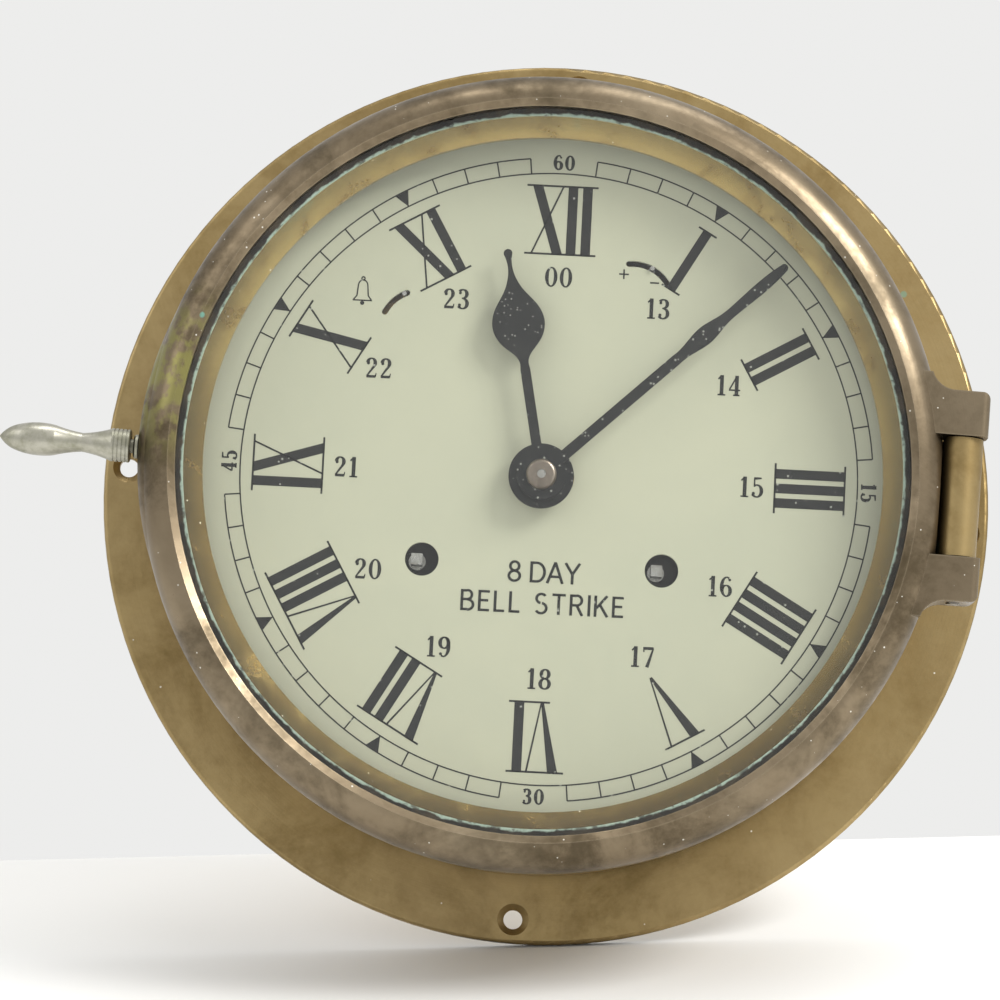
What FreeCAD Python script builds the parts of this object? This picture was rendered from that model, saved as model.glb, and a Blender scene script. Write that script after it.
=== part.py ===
import FreeCAD, Part
import math
import os

from FreeCAD import Vector

# A bulkhead ship's clock. X is right, Z is up, the dial faces -Y, and the wall is the plane Y = 0.
# An "out" value is a distance out from the wall. Angles on the dial run clockwise from XII. Sizes are in mm.

# case
drum_radius = 110.0
drum_front = 60.0
drum_wall = 3.5
flange_width = 20.0
flange_thickness = 4.0
flange_round = 1.2
fixing_hole_inset = 7.0
fixing_hole_radius = 2.75
fixing_sink_radius = 4.6
fixing_sink_depth = 1.8
fixing_hole_count = 4
weld = 0.5
rear_ledge_width = 8.5
rear_ledge_thickness = 3.0
dial_ledge_width = 8.5
dial_ledge_thickness = 2.5

# rear cover
cover_inset = 0.4
cover_thickness = 1.6
cover_gap = 0.2
cover_screw_count = 6
cover_screw_radius = 1.5
cover_screw_head_radius = 2.6
cover_screw_head_height = 0.8
cover_screw_length = 3.6

# dial
dial_setback = 5.5
dial_thickness = 1.5
dial_rim_gap = 5.0
dial_turn = 1.7
dial_centre_hole = 7.2
dial_foot_radius = 2.0
dial_foot_end = 2.6
dial_foot_circle = 61.0
dial_foot_angles = (65.0, 295.0, 170.0)
dial_foot_pin_radius = 0.6
dial_foot_pin_length = 9.0
winding_hole_radius = 4.75
winding_hole_spread = 33.8
winding_hole_shift = -0.8
winding_drop = 25.1

# bezel
bezel_overhang = 2.4
bezel_shift = -1.8
bezel_gap = 0.3
bezel_skirt = 7.2
bezel_height = 15.6
bezel_crest_inset = 7.8
bezel_lip_inset = 9.9
bezel_lip_drop = 1.3
bezel_lip_thickness = 1.8
glass_lap = 1.6
glass_seat_gap = 0.4
glass_thickness = 2.5
gasket_thickness = 1.0
gasket_width = 3.6
sight_flange_thickness = 1.8
sight_rim_gap = 0.1
sight_cone_width = 5.1
sight_cone_depth = 5.0
sight_lip = 2.0
sight_wall = 1.3

# hinge
hinge_reach = 5.0
hinge_out = 66.6
hinge_height = 1.6
knuckle_radius = 5.6
knuckle_length = 33.4
knuckle_web_root = 44.0
ear_radius = 6.4
ear_length = 12.6
ear_root = 8.0
ear_corner = 2.2
ear_round = 2.3
ear_fillet = 7.0
ear_overlap = 1.0
hinge_end_gap = 0.3
hinge_relief = 0.5
hinge_pin_radius = 2.0
hinge_pin_clearance = 0.05
hinge_pin_proud = 0.4

# clamp screw with its turned handle
clamp_height = -2.0
clamp_out = 64.4
clamp_screw_radius = 2.0
clamp_clearance = 0.05
clamp_pad_radius = 95.0
clamp_pad_rise = 1.1
clamp_pad_fall = 5.0
clamp_tip_gap = 0.3
clamp_lug_width = 12.0
clamp_lug_thickness = 2.6
clamp_lug_rise = 6.8
clamp_lug_relief = 0.5
clamp_lug_foot = 2.0
clamp_washer_radius = 3.4
clamp_washer_thickness = 1.2
clamp_washer_stand = 0.2
handle_stand = 2.3
handle_collar_radius = 4.65
handle_collar_length = 5.2
handle_groove_count = 4
handle_groove_depth = 0.25
handle_groove_width = 0.35
handle_waist_radius = 2.65
handle_bulb_radius = 4.6
handle_length = 36.9
handle_bulb_from_tip = 13.0
handle_waist_from_tip = 23.3

# movement plates
movement_shift = (-2.2, -0.6)
motion_space = 8.0
front_plate_thickness = 2.2
back_plate_thickness = 2.0
plate_space = 23.3
plate_radius = 66.0
ear_gap = 13.5
plate_ear_width = 15.0
mount_screw_inset = 6.0
mount_screw_radius = 1.5
mount_screw_grip = 6.0
mount_screw_head_radius = 3.2
mount_angles = (45.0, 135.0, 225.0, 315.0)
bracket_thickness = 5.0
pillar_circle = 60.0
pillar_radius = 3.0
pillar_angles = (0.0, 90.0, 180.0, 270.0)
small_screw_radius = 1.2
small_head_radius = 2.7
small_head_height = 1.6
small_screw_length = 5.0
arbor_radius = 1.2
running_clearance = 0.05
heavy_arbor_radius = 2.4

# bell and hammer
bell_radius = 48.0
bell_wall = 1.6
bell_plate_gap = 3.0
bell_cover_gap = 3.0
bell_flat_radius = 28.0
bell_post_radius = 2.5
bell_stud_radius = 1.5
bell_nut_radius = 3.4
bell_nut_height = 1.8
bell_post_place = (0.0, -6.0)
hammer_gap = 1.2
hammer_arbor_stand = 7.8
hammer_arbor_bearing = 284.5
hammer_head_bearing = 246.6
hammer_head_radius = 4.4
hammer_head_length = 8.0
hammer_arm_width = 4.0
hammer_arm_thickness = 1.8
hammer_tail = 3.6

# wheels: tooth height above and below the pitch line, in modules, and the tooth's share of the pitch
addendum = 0.72
dedendum = 1.1
tooth_share = 0.42
pressure_angle = 20.0

# going train, places measured from the centre arbor
barrel_teeth = 72
barrel_module = 0.6
train_pinion_leaves = 12
second_teeth = 72
second_module = 0.5
centre_teeth = 96
centre_module = 0.4
third_teeth = 90
third_module = 0.35
fourth_teeth = 96
fourth_module = 0.3
motion_module = 0.5
minute_wheel_teeth = 36
hour_module = 0.4
hour_wheel_teeth = 48
third_bearing = 24.6
fourth_bearing = 60.2
escape_bearing = 48.0
minute_wheel_bearing = 225.0
escape_teeth = 15
escape_radius = 5.6
escape_pinion_radius = 1.3
wheel_thickness = 1.6
wheel_rim = 2.2
wheel_hub = 4.2
wheel_spoke = 2.4

# barrels
barrel_radius = 20.2
barrel_wall = 1.0
barrel_depth = 12.6
barrel_plate_gap = 1.6
barrel_cover_thickness = 1.2
spring_thickness = 0.45
spring_pitch = 1.9
spring_turns = 7
winding_square = 3.2
ratchet_teeth = 24
ratchet_radius = 9.0
ratchet_depth = 1.3
ratchet_thickness = 1.4
click_clearance = 0.2

# escapement, regulator and strike-silent lever, places measured on the dial
balance_place = (21.15, 50.5)
silent_place = (-38.15, 39.8)
balance_radius = 8.6
balance_rim = 1.2
hairspring_turns = 6
hairspring_pitch = 0.62
hairspring_thickness = 0.12
index_radius = 11.75
index_pin_radius = 0.65
index_slot_width = 1.7
regulator_slot = (-6.6, 60.1)
silent_slot = (-64.3, -22.9)

# strike train
pin_wheel_teeth = 72
pin_wheel_module = 0.45
warning_teeth = 72
warning_module = 0.4
pin_wheel_bearing = -9.6
warning_bearing = 26.7
fly_bearing = 63.2
lifting_pin_circle = 13.0
lifting_pin_radius = 0.6
lifting_pin_count = 8
fly_reach = 6.5
fly_height = 9.0
strokes_in_twelve_hours = 78
count_notch_width = 0.8

# hands
hand_thickness = 0.9
hour_hand_out = 59.6
minute_hand_out = 62.0
hour_hand_angle = -11.2
minute_hand_angle = 46.5
hour_hand_length = 65.4
hour_hub_radius = 9.2
hour_stem_width = 2.8
hour_bulb_place = 43.7
hour_bulb_width = 14.9
hour_tip_width = 2.5
minute_hand_length = 91.6
minute_hub_radius = 7.0
minute_stem_width = 3.0
minute_swelling_place = 61.0
minute_swelling_width = 5.1
minute_tip_width = 2.2
hand_nut_radius = 4.3
hand_nut_height = 2.4
hour_pipe_radius = 3.3
minute_pipe_radius = 2.15

# worked out from the sizes above
drum_bore = drum_radius - drum_wall
flange_radius = drum_radius + flange_width
dial_front = drum_front - dial_setback
dial_back = dial_front - dial_thickness
dial_radius = drum_bore - dial_rim_gap
front_plate_front = dial_back - motion_space
front_plate_back = front_plate_front - front_plate_thickness
back_plate_front = front_plate_back - plate_space
back_plate_back = back_plate_front - back_plate_thickness
cover_front = cover_inset + cover_thickness
bezel_radius = drum_radius + bezel_overhang
bezel_back = drum_front + bezel_gap
bezel_top = bezel_back + bezel_height
lip_radius = bezel_radius - bezel_lip_inset
glass_radius = lip_radius + glass_lap
seat_radius = glass_radius + glass_seat_gap
glass_front = bezel_top - bezel_lip_drop - bezel_lip_thickness
glass_back = glass_front - glass_thickness
sight_front = glass_back - gasket_thickness
sight_outer = glass_radius - gasket_width
sight_inner = sight_outer - sight_cone_width
hinge_x = drum_radius + hinge_reach
hinge_length = knuckle_length + 2 * (ear_length + hinge_end_gap)
bezel_centre = (bezel_shift, 0.0)
ledge_front = cover_front + cover_gap + rear_ledge_thickness
balance_centre = (balance_place[0] - movement_shift[0], balance_place[1] - movement_shift[1])
silent_centre = (silent_place[0] - movement_shift[0], silent_place[1] - movement_shift[1])
lug_radius = seat_radius + glass_seat_gap + clamp_lug_thickness


def polar(radius, bearing, centre=(0.0, 0.0)):
    """A point on a circle; the bearing runs clockwise from straight up."""
    turn = math.radians(bearing)
    return (centre[0] + radius * math.sin(turn), centre[1] + radius * math.cos(turn))


def bearing_of(start, end):
    return math.degrees(math.atan2(end[0] - start[0], end[1] - start[1]))


def disc(radius, out_back, out_front, centre=(0.0, 0.0)):
    base = Vector(centre[0], -out_back, centre[1])
    return Part.makeCylinder(radius, out_front - out_back, base, Vector(0, -1, 0))


def tube(outer, inner, out_back, out_front, centre=(0.0, 0.0)):
    return disc(outer, out_back, out_front, centre).cut(disc(inner, out_back - 1, out_front + 1, centre))


def path_edges(points, to_vector):
    """Edges through the points; a pair of points in place of one is an arc's middle and its end."""
    edges = []
    here = to_vector(points[0])
    for step in points[1:] + [points[0]]:
        if isinstance(step[0], tuple):
            middle = to_vector(step[0])
            there = to_vector(step[1])
            edges.append(Part.Arc(here, middle, there).toShape())
        else:
            there = to_vector(step)
            if there.distanceToPoint(here) > 1e-6:
                edges.append(Part.makeLine(here, there))
        here = there
    return edges


def turned(profile, centre=(0.0, 0.0)):
    """A solid of revolution about the line out from the wall; the profile is (radius, out) points."""
    edges = path_edges(profile, lambda p: Vector(centre[0] + p[0], -p[1], centre[1]))
    face = Part.Face(Part.Wire(edges))
    return face.revolve(Vector(centre[0], 0, centre[1]), Vector(0, 1, 0), 360)


def plate(outline, out_back, out_front):
    """A flat piece parallel to the wall; the outline is (x, z) points."""
    edges = path_edges(outline, lambda p: Vector(p[0], -out_back, p[1]))
    return Part.Face(Part.Wire(edges)).extrude(Vector(0, out_back - out_front, 0))


def bar(start, end, width, out_back, out_front):
    """A straight flat bar from one point to another."""
    bearing = bearing_of(start, end)
    left = polar(width / 2, bearing - 90)
    order = ((start, 1), (end, 1), (end, -1), (start, -1))
    corners = [(point[0] + side * left[0], point[1] + side * left[1]) for point, side in order]
    return plate(corners, out_back, out_front)


def fuse(shapes):
    solid = shapes[0]
    for shape in shapes[1:]:
        solid = solid.fuse(shape)
    return solid.removeSplitter()


def cut_all(shape, tools):
    for tool in tools:
        shape = shape.cut(tool)
    return shape


def slot(centre, radius, width, bearings, out_back, out_front):
    """A curved slot with round ends."""
    start, end = bearings
    middle = (start + end) / 2
    outer = radius + width / 2
    inner = radius - width / 2
    ends = [
        polar(inner, start, centre),
        (polar(radius, start - math.degrees(width / 2 / radius), centre), polar(outer, start, centre)),
        (polar(outer, middle, centre), polar(outer, end, centre)),
        (polar(radius, end + math.degrees(width / 2 / radius), centre), polar(inner, end, centre)),
        (polar(inner, middle, centre), polar(inner, start, centre)),
    ]
    return plate(ends, out_back, out_front)


def on_dial(shape):
    """Dial places are turned a little anticlockwise in the case."""
    shape.rotate(Vector(0, 0, 0), Vector(0, 1, 0), -dial_turn)
    return shape


def in_movement(shape):
    """Movement places are counted from the centre arbor, which is set off the dial's centre."""
    shape.translate(Vector(movement_shift[0], 0, movement_shift[1]))
    return on_dial(shape)


def save(name, shape):
    shape.exportStep(f"parts/{name}.step")


# ---- toothed wheels


def involute(angle):
    return math.tan(angle) - angle


def gear_outline(teeth, module, tooth_bearing, centre):
    """The edge of a gear with involute flanks; one tooth's middle lies on tooth_bearing."""
    pitch = teeth * module / 2
    base = pitch * math.cos(math.radians(pressure_angle))
    root = pitch - dedendum * module
    tip = pitch + addendum * module
    half_at_pitch = math.pi * tooth_share / teeth
    flank = [root, max(base, root + 0.1 * module), pitch, (pitch + tip) / 2, tip]
    halves = []
    for radius in flank:
        angle = math.acos(min(1.0, base / radius))
        half = half_at_pitch + involute(math.radians(pressure_angle)) - involute(angle)
        halves.append(math.degrees(half))
    points = []
    for tooth in range(teeth):
        middle = tooth_bearing + 360.0 * tooth / teeth
        points += [polar(r, middle - h, centre) for r, h in zip(flank, halves)]
        points += [polar(r, middle + h, centre) for r, h in zip(reversed(flank), reversed(halves))]
    return points


def gear(teeth, module, out_back, out_front, tooth_bearing=0.0, centre=(0.0, 0.0)):
    return plate(gear_outline(teeth, module, tooth_bearing, centre), out_back, out_front)


def crossed(shape, outer, hub, spokes, out_back, out_front, centre=(0.0, 0.0)):
    """Cuts the windows between a wheel's spokes."""
    windows = tube(outer, hub, out_back - 1, out_front + 1, centre)
    for spoke in range(spokes):
        end = polar(outer + 2, 360.0 * spoke / spokes, centre)
        windows = windows.cut(bar(centre, end, wheel_spoke, out_back - 2, out_front + 2))
    return shape.cut(windows)


def wheel(teeth, module, out_back, tooth_bearing, centre):
    """A crossed-out brass wheel."""
    out_front = out_back + wheel_thickness
    blank = gear(teeth, module, out_back, out_front, tooth_bearing, centre)
    rim = teeth * module / 2 - dedendum * module - wheel_rim
    return crossed(blank, rim, wheel_hub, 5, out_back, out_front, centre)


def mate_bearing(teeth, tooth_bearing, centre, mate_teeth, mate_centre):
    """The tooth bearing that sets the mate's tooth space on this gear's tooth, along the line of centres."""
    line = bearing_of(centre, mate_centre)
    phase = (line - tooth_bearing) * teeth / 360.0
    return line + 180.0 - (0.5 - phase) * 360.0 / mate_teeth


def apart(teeth, mate_teeth, module):
    return (teeth + mate_teeth) * module / 2


def spiral_strip(centre, inner_radius, pitch, half_turns, thickness, out_back, out_front):
    """A flat coiled spring: a strip whose two edges are half circles of growing radius."""

    def edge_points(first_radius):
        points = []
        for half in range(half_turns + 1):
            side = 1 if half % 2 == 0 else -1
            here = side * (first_radius + half * pitch / 2)
            if half:
                middle_x = (here + last) / 2
                radius = abs(here - last) / 2
                middle = (centre[0] + middle_x, centre[1] + (radius if half % 2 else -radius))
                points.append((middle, (centre[0] + here, centre[1])))
            else:
                points.append((centre[0] + here, centre[1]))
            last = here
        return points

    inner = edge_points(inner_radius)
    outer = edge_points(inner_radius + thickness)
    back = [outer[-1][1]]
    for index in range(len(outer) - 1, 1, -1):
        back.append((outer[index][0], outer[index - 1][1]))
    back.append((outer[1][0], outer[0]))
    return plate(inner + back, out_back, out_front)


# ---- places of the arbors, counted from the centre arbor

hammer_arbor = polar(bell_radius + hammer_arbor_stand, hammer_arbor_bearing, bell_post_place)
hammer_head = polar(bell_radius + hammer_gap + hammer_head_radius, hammer_head_bearing, bell_post_place)

going_barrel_place = (winding_hole_spread, -winding_drop - movement_shift[1])
strike_barrel_place = (-going_barrel_place[0], going_barrel_place[1])
barrel_apart = apart(barrel_teeth, train_pinion_leaves, barrel_module)
second_apart = apart(second_teeth, train_pinion_leaves, second_module)


def corner(start, end, from_start, from_end, side):
    """The third corner of a triangle, from the lengths of its sides."""
    span = math.dist(start, end)
    along = (from_start**2 - from_end**2 + span**2) / (2 * span)
    aside = side * math.sqrt(from_start**2 - along**2)
    direction = ((end[0] - start[0]) / span, (end[1] - start[1]) / span)
    return (
        start[0] + along * direction[0] - aside * direction[1],
        start[1] + along * direction[1] + aside * direction[0],
    )


second_place = corner((0.0, 0.0), going_barrel_place, second_apart, barrel_apart, -1)
third_place = polar(apart(centre_teeth, train_pinion_leaves, centre_module), third_bearing)
fourth_place = polar(apart(third_teeth, train_pinion_leaves, third_module), fourth_bearing, third_place)
fourth_radius = fourth_teeth * fourth_module / 2
fourth_tip = fourth_radius + addendum * fourth_module
escape_place = polar(fourth_tip + escape_pinion_radius + 0.4, escape_bearing, fourth_place)
minute_wheel_place = polar(apart(minute_wheel_teeth, train_pinion_leaves, motion_module),
                           minute_wheel_bearing)
pin_wheel_place = polar(barrel_apart, pin_wheel_bearing, strike_barrel_place)
warning_place = polar(apart(pin_wheel_teeth, train_pinion_leaves, pin_wheel_module), warning_bearing,
                      pin_wheel_place)
fly_place = polar(apart(warning_teeth, train_pinion_leaves, warning_module), fly_bearing, warning_place)

# levels of the wheels between the plates
barrel_back = back_plate_front + barrel_plate_gap
barrel_front = barrel_back + barrel_depth
barrel_tooth_back = barrel_front - wheel_thickness
second_wheel_back = front_plate_back - 4.0
centre_wheel_back = back_plate_front + 5.0
third_wheel_back = back_plate_front + 11.0
fourth_wheel_back = back_plate_front + 16.5
pin_wheel_back = front_plate_back - 4.0
warning_wheel_back = back_plate_front + 9.0
escape_back = front_plate_front + 0.8
balance_back = front_plate_front + 2.4
hairspring_back = front_plate_front + 3.8
cock_back = front_plate_front + 4.8
cock_front = cock_back + 1.2
regulator_back = cock_front + 0.15
regulator_front = regulator_back + 0.6


def mounting_flange():
    """The flange, with a ledge for the rear cover that also centres the drum."""
    solid = turned([
        (drum_bore, 0.0),
        (flange_radius, 0.0),
        (flange_radius, flange_thickness - flange_round),
        ((flange_radius - 0.3 * flange_round, flange_thickness - 0.3 * flange_round),
         (flange_radius - flange_round, flange_thickness)),
        (drum_bore, flange_thickness),
        (drum_bore, ledge_front),
        (drum_bore - rear_ledge_width, ledge_front),
        (drum_bore - rear_ledge_width, cover_front + cover_gap),
        (drum_bore, cover_front + cover_gap),
    ])
    holes = []
    fixing_circle = flange_radius - fixing_hole_inset
    for index in range(fixing_hole_count):
        place = polar(fixing_circle, 360.0 * index / fixing_hole_count)
        holes.append(disc(fixing_hole_radius, -1.0, flange_thickness + 1.0, place))
        sink_base = Vector(place[0], fixing_sink_depth - flange_thickness, place[1])
        holes.append(Part.makeCone(fixing_hole_radius, fixing_sink_radius, fixing_sink_depth, sink_base,
                                   Vector(0, -1, 0)))
    for place in cover_screw_places():
        holes.append(disc(cover_screw_radius, cover_front, cover_front + cover_screw_length, place))
    return cut_all(solid, holes)


def clamp_lug():
    """The upstand inside the drum's mouth that the clamp screw bears on."""
    back = dial_front + clamp_lug_foot
    upstand = tube(lug_radius, lug_radius - clamp_lug_thickness, back, drum_front + clamp_lug_rise)
    root = tube(drum_bore + weld, lug_radius - clamp_lug_thickness, back, drum_front)
    low = Vector(-flange_radius, -2 * drum_front, clamp_height - clamp_lug_width / 2)
    zone = Part.makeBox(flange_radius, 2 * drum_front, clamp_lug_width, low)
    return [upstand.common(zone), root.common(zone)]


def hinge_knuckle():
    low = hinge_height - knuckle_length / 2
    web_outline = [
        (drum_radius - weld, knuckle_web_root),
        (hinge_x, knuckle_web_root + knuckle_radius),
        (hinge_x + knuckle_radius, drum_front - 2.0),
        (hinge_x + knuckle_radius, hinge_out),
        (hinge_x, hinge_out),
        (hinge_x, drum_front),
        (drum_radius - weld, drum_front),
    ]
    edges = path_edges(web_outline, lambda p: Vector(p[0], -p[1], low))
    web = Part.Face(Part.Wire(edges)).extrude(Vector(0, 0, knuckle_length))
    return [web, Part.makeCylinder(knuckle_radius, knuckle_length, Vector(hinge_x, -hinge_out, low))]


def movement_brackets():
    """Four short arms inside the drum that the front plate is screwed to."""
    brackets = []
    for angle in mount_angles:
        inner = polar(drum_bore - ear_gap - 2 * mount_screw_inset - 1.0, angle)
        outer = polar(flange_radius, angle)
        arm = bar(inner, outer, plate_ear_width - 2.0, front_plate_back - bracket_thickness, front_plate_back)
        hole = disc(mount_screw_radius, 0.0, drum_front, polar(drum_bore - ear_gap - mount_screw_inset,
                                                               angle))
        brackets.append(in_movement(arm.cut(hole)).common(disc(drum_bore + drum_wall / 2, 0.0, drum_front)))
    return brackets


def case_drum():
    wall = tube(drum_radius, drum_bore, flange_thickness, drum_front)
    dial_ledge = tube(drum_bore + weld, drum_bore - dial_ledge_width, dial_back - dial_ledge_thickness,
                      dial_back)
    body = fuse([wall, dial_ledge] + clamp_lug() + hinge_knuckle() + movement_brackets())
    pin_base = Vector(hinge_x, -hinge_out, hinge_height - hinge_length / 2)
    return body.cut(Part.makeCylinder(hinge_pin_radius, hinge_length, pin_base))


def cover_screw_places():
    circle = drum_bore - rear_ledge_width / 2 - 1.0
    return [polar(circle, 30.0 + 360.0 * index / cover_screw_count) for index in range(cover_screw_count)]


def rear_cover():
    cover = disc(drum_bore - 1.0, cover_inset, cover_front)
    for place in cover_screw_places():
        cover = cover.cut(disc(cover_screw_radius, 0.0, cover_front + 1, place))
        cover = cover.cut(disc(cover_screw_head_radius, 0.0, cover_inset + cover_screw_head_height, place))
    return cover


def cover_screws():
    screws = []
    for place in cover_screw_places():
        head = disc(cover_screw_head_radius, cover_inset, cover_inset + cover_screw_head_height, place)
        shank = disc(cover_screw_radius, cover_inset, cover_front + cover_screw_length, place)
        groove = bar(polar(4, 60, place), polar(4, 240, place), 0.8, 0.0, cover_inset + 0.4)
        screws.append(head.fuse(shank).cut(groove))
    return Part.makeCompound(screws)


def bezel_ring():
    crest = bezel_radius - bezel_crest_inset
    rise = bezel_top - bezel_back - bezel_skirt
    shoulder = (crest + 0.62 * bezel_crest_inset, bezel_back + bezel_skirt + 0.70 * rise)
    ring = turned([
        (seat_radius, bezel_back),
        (bezel_radius, bezel_back),
        (bezel_radius, bezel_back + bezel_skirt),
        (shoulder, (crest, bezel_top)),
        (lip_radius, bezel_top - bezel_lip_drop),
        (lip_radius, glass_front),
        (seat_radius, glass_front),
    ], bezel_centre)
    inside = disc(seat_radius + ear_overlap, 0.0, 2 * drum_front, bezel_centre)
    ears = [hinge_ear(side).cut(inside) for side in (-1, 1)]
    relief = knuckle_radius + hinge_relief
    relief_low = hinge_height - knuckle_length / 2 - hinge_end_gap
    relief_length = knuckle_length + 2 * hinge_end_gap
    notch = Part.makeCylinder(relief, relief_length, Vector(hinge_x, -hinge_out, relief_low))
    notch_corner = Vector(hinge_x - relief, -hinge_out - bezel_height, relief_low)
    notch_front = Part.makeBox(3 * relief, bezel_height, relief_length, notch_corner)
    pin_hole = Part.makeCylinder(hinge_pin_radius + hinge_pin_clearance, 2 * hinge_length,
                                 Vector(hinge_x, -hinge_out, hinge_height - hinge_length))
    screw_hole = Part.makeCylinder(clamp_screw_radius + clamp_clearance, drum_radius / 4,
                                   Vector(-seat_radius, -clamp_out, clamp_height), Vector(-1, 0, 0))
    return cut_all(fuse([ring, clamp_pad()] + ears), [notch, notch_front, pin_hole, lug_pocket(), screw_hole])


def clamp_pad():
    """A low swelling on the bezel's side where the clamp screw goes through."""
    inner = clamp_pad_radius - 2 * clamp_pad_fall
    bend = clamp_pad_radius - 0.34 * clamp_pad_fall
    solid = turned([
        (inner, bezel_back),
        (clamp_pad_radius, bezel_back),
        (clamp_pad_radius, bezel_back + bezel_skirt),
        ((bend, bezel_back + bezel_skirt + 0.6 * clamp_pad_fall),
         (clamp_pad_radius - clamp_pad_fall, bezel_back + bezel_skirt + clamp_pad_fall)),
        (inner, bezel_back + bezel_skirt + clamp_pad_fall),
    ], (clamp_pad_radius - bezel_seat_x(), 0.0))
    return solid.cut(disc(seat_radius + ear_overlap, 0.0, 2 * drum_front, bezel_centre))


def lug_pocket():
    """Room in the bezel for the clamp lug."""
    side = clamp_lug_width + 4 * clamp_lug_relief
    corner_point = Vector(-flange_radius, -2 * drum_front, clamp_height - side / 2)
    zone = Part.makeBox(flange_radius, 2 * drum_front, side, corner_point)
    front = drum_front + clamp_lug_rise + 2 * clamp_lug_relief
    return tube(lug_radius + clamp_lug_relief, lug_radius - 2 * clamp_lug_thickness, bezel_back - 1.0,
                front).common(zone)


def hinge_ear(side):
    """One of the bezel's two ears; side is 1 above the knuckle and -1 below it."""
    inner = hinge_height + side * (knuckle_length / 2 + hinge_end_gap)
    outer = inner + side * ear_length
    tip = hinge_x + ear_radius
    root = drum_radius - ear_root
    fillet_height = outer + side * ear_fillet
    reach = bezel_radius + ear_fillet
    fillet_x = bezel_shift + math.sqrt(reach**2 - fillet_height**2)
    share = bezel_radius / reach
    foot = (bezel_shift + share * (fillet_x - bezel_shift), share * fillet_height)
    lean = math.atan2(foot[1] - fillet_height, foot[0] - fillet_x)
    down = -side * math.pi / 2
    middle = (lean + down) / 2 if side > 0 else (lean % (2 * math.pi) + down) / 2
    bend = (fillet_x + ear_fillet * math.cos(middle), fillet_height + ear_fillet * math.sin(middle))
    soft = ear_round * (1 - math.sqrt(0.5))
    elevation = plate([
        (root, inner),
        (tip, inner),
        (tip, outer - side * ear_round),
        ((tip - soft, outer - side * soft), (tip - ear_round, outer)),
        (fillet_x, outer),
        (bend, foot),
        (root, foot[1]),
    ], 0.0, 2 * drum_front)
    low = hinge_height - hinge_length
    edges = path_edges(ear_outline(), lambda p: Vector(p[0], -p[1], low))
    side_view = Part.Face(Part.Wire(edges)).extrude(Vector(0, 0, 2 * hinge_length))
    return side_view.common(elevation)


def ear_outline():
    """A hinge ear seen along its pin: round behind, and square in front with a rounded corner."""
    tip = hinge_x + ear_radius
    front = hinge_out + ear_radius
    back = hinge_out - ear_radius
    soft = 0.3 * ear_corner
    bend = ear_radius * math.sqrt(0.5)
    return [
        (drum_radius - ear_root, back),
        (hinge_x, back),
        ((hinge_x + bend, hinge_out - bend), (tip, hinge_out)),
        (tip, front - ear_corner),
        ((tip - soft, front - soft), (tip - ear_corner, front)),
        (drum_radius - ear_root, front),
    ]


def hinge_pin():
    length = hinge_length + 2 * hinge_pin_proud
    return Part.makeCylinder(hinge_pin_radius, length, Vector(hinge_x, -hinge_out, hinge_height - length / 2))


def sight_ring():
    edge = seat_radius - sight_rim_gap
    flange_back = sight_front - sight_flange_thickness
    cone_foot = sight_front - sight_cone_depth
    return turned([
        (sight_outer, sight_front),
        (edge, sight_front),
        (edge, flange_back),
        (sight_outer + sight_wall, flange_back),
        (sight_inner + sight_wall, cone_foot),
        (sight_inner + sight_wall, cone_foot - sight_lip),
        (sight_inner, cone_foot - sight_lip),
        (sight_inner, cone_foot),
    ], bezel_centre)


def bezel_seat_x():
    """How far the bezel's side stands from the case's centre at the clamp screw."""
    return bezel_radius + clamp_pad_rise - bezel_shift


def along_clamp(profile):
    """A turned piece on the clamp screw's axis; the profile is (radius, distance from the bezel's side)."""
    seat = bezel_seat_x()
    edges = path_edges(profile, lambda p: Vector(-seat - p[1], -clamp_out, clamp_height + p[0]))
    smooth = [edge.Curve.toBSpline(edge.FirstParameter, edge.LastParameter).toShape() for edge in edges]
    face = Part.Face(Part.Wire(smooth))
    return face.revolve(Vector(0, -clamp_out, clamp_height), Vector(1, 0, 0), 360)


def clamp_screw():
    tip = lug_radius + clamp_tip_gap - bezel_seat_x()
    collar_end = handle_stand + handle_collar_length
    end = handle_stand + handle_length
    bulb = end - handle_bulb_from_tip
    waist = end - handle_waist_from_tip
    screw = along_clamp([
        (0.0, tip),
        (clamp_screw_radius, tip),
        (clamp_screw_radius, handle_stand),
        (handle_collar_radius - 0.3, handle_stand),
        (handle_collar_radius, handle_stand + 0.3),
        (handle_collar_radius, collar_end),
        ((0.5 * (handle_collar_radius + handle_waist_radius), collar_end + 0.36 * (waist - collar_end)),
         (handle_waist_radius, waist)),
        ((handle_waist_radius + 0.7, waist + 0.42 * (bulb - waist)), (handle_bulb_radius - 0.35, bulb - 2.6)),
        ((handle_bulb_radius, bulb), (0.8 * handle_bulb_radius, end - 0.39 * handle_bulb_from_tip)),
        ((0.52 * handle_bulb_radius, end - 0.18 * handle_bulb_from_tip), (0.0, end)),
    ])
    grooves = []
    step = handle_collar_length / (handle_groove_count + 0.5)
    for index in range(handle_groove_count):
        place = handle_stand + (index + 0.75) * step
        grooves.append(along_clamp([
            (handle_collar_radius - handle_groove_depth, place),
            (handle_collar_radius + 1.0, place),
            (handle_collar_radius + 1.0, place + handle_groove_width),
            (handle_collar_radius - handle_groove_depth, place + handle_groove_width),
        ]))
    return cut_all(screw, grooves)


def clamp_washer():
    near = clamp_washer_stand
    far = near + clamp_washer_thickness
    bore = clamp_screw_radius + clamp_clearance
    return along_clamp([(bore, near), (clamp_washer_radius, near), (clamp_washer_radius, far - 0.5),
                        (clamp_washer_radius - 0.5, far), (bore, far)])


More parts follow.
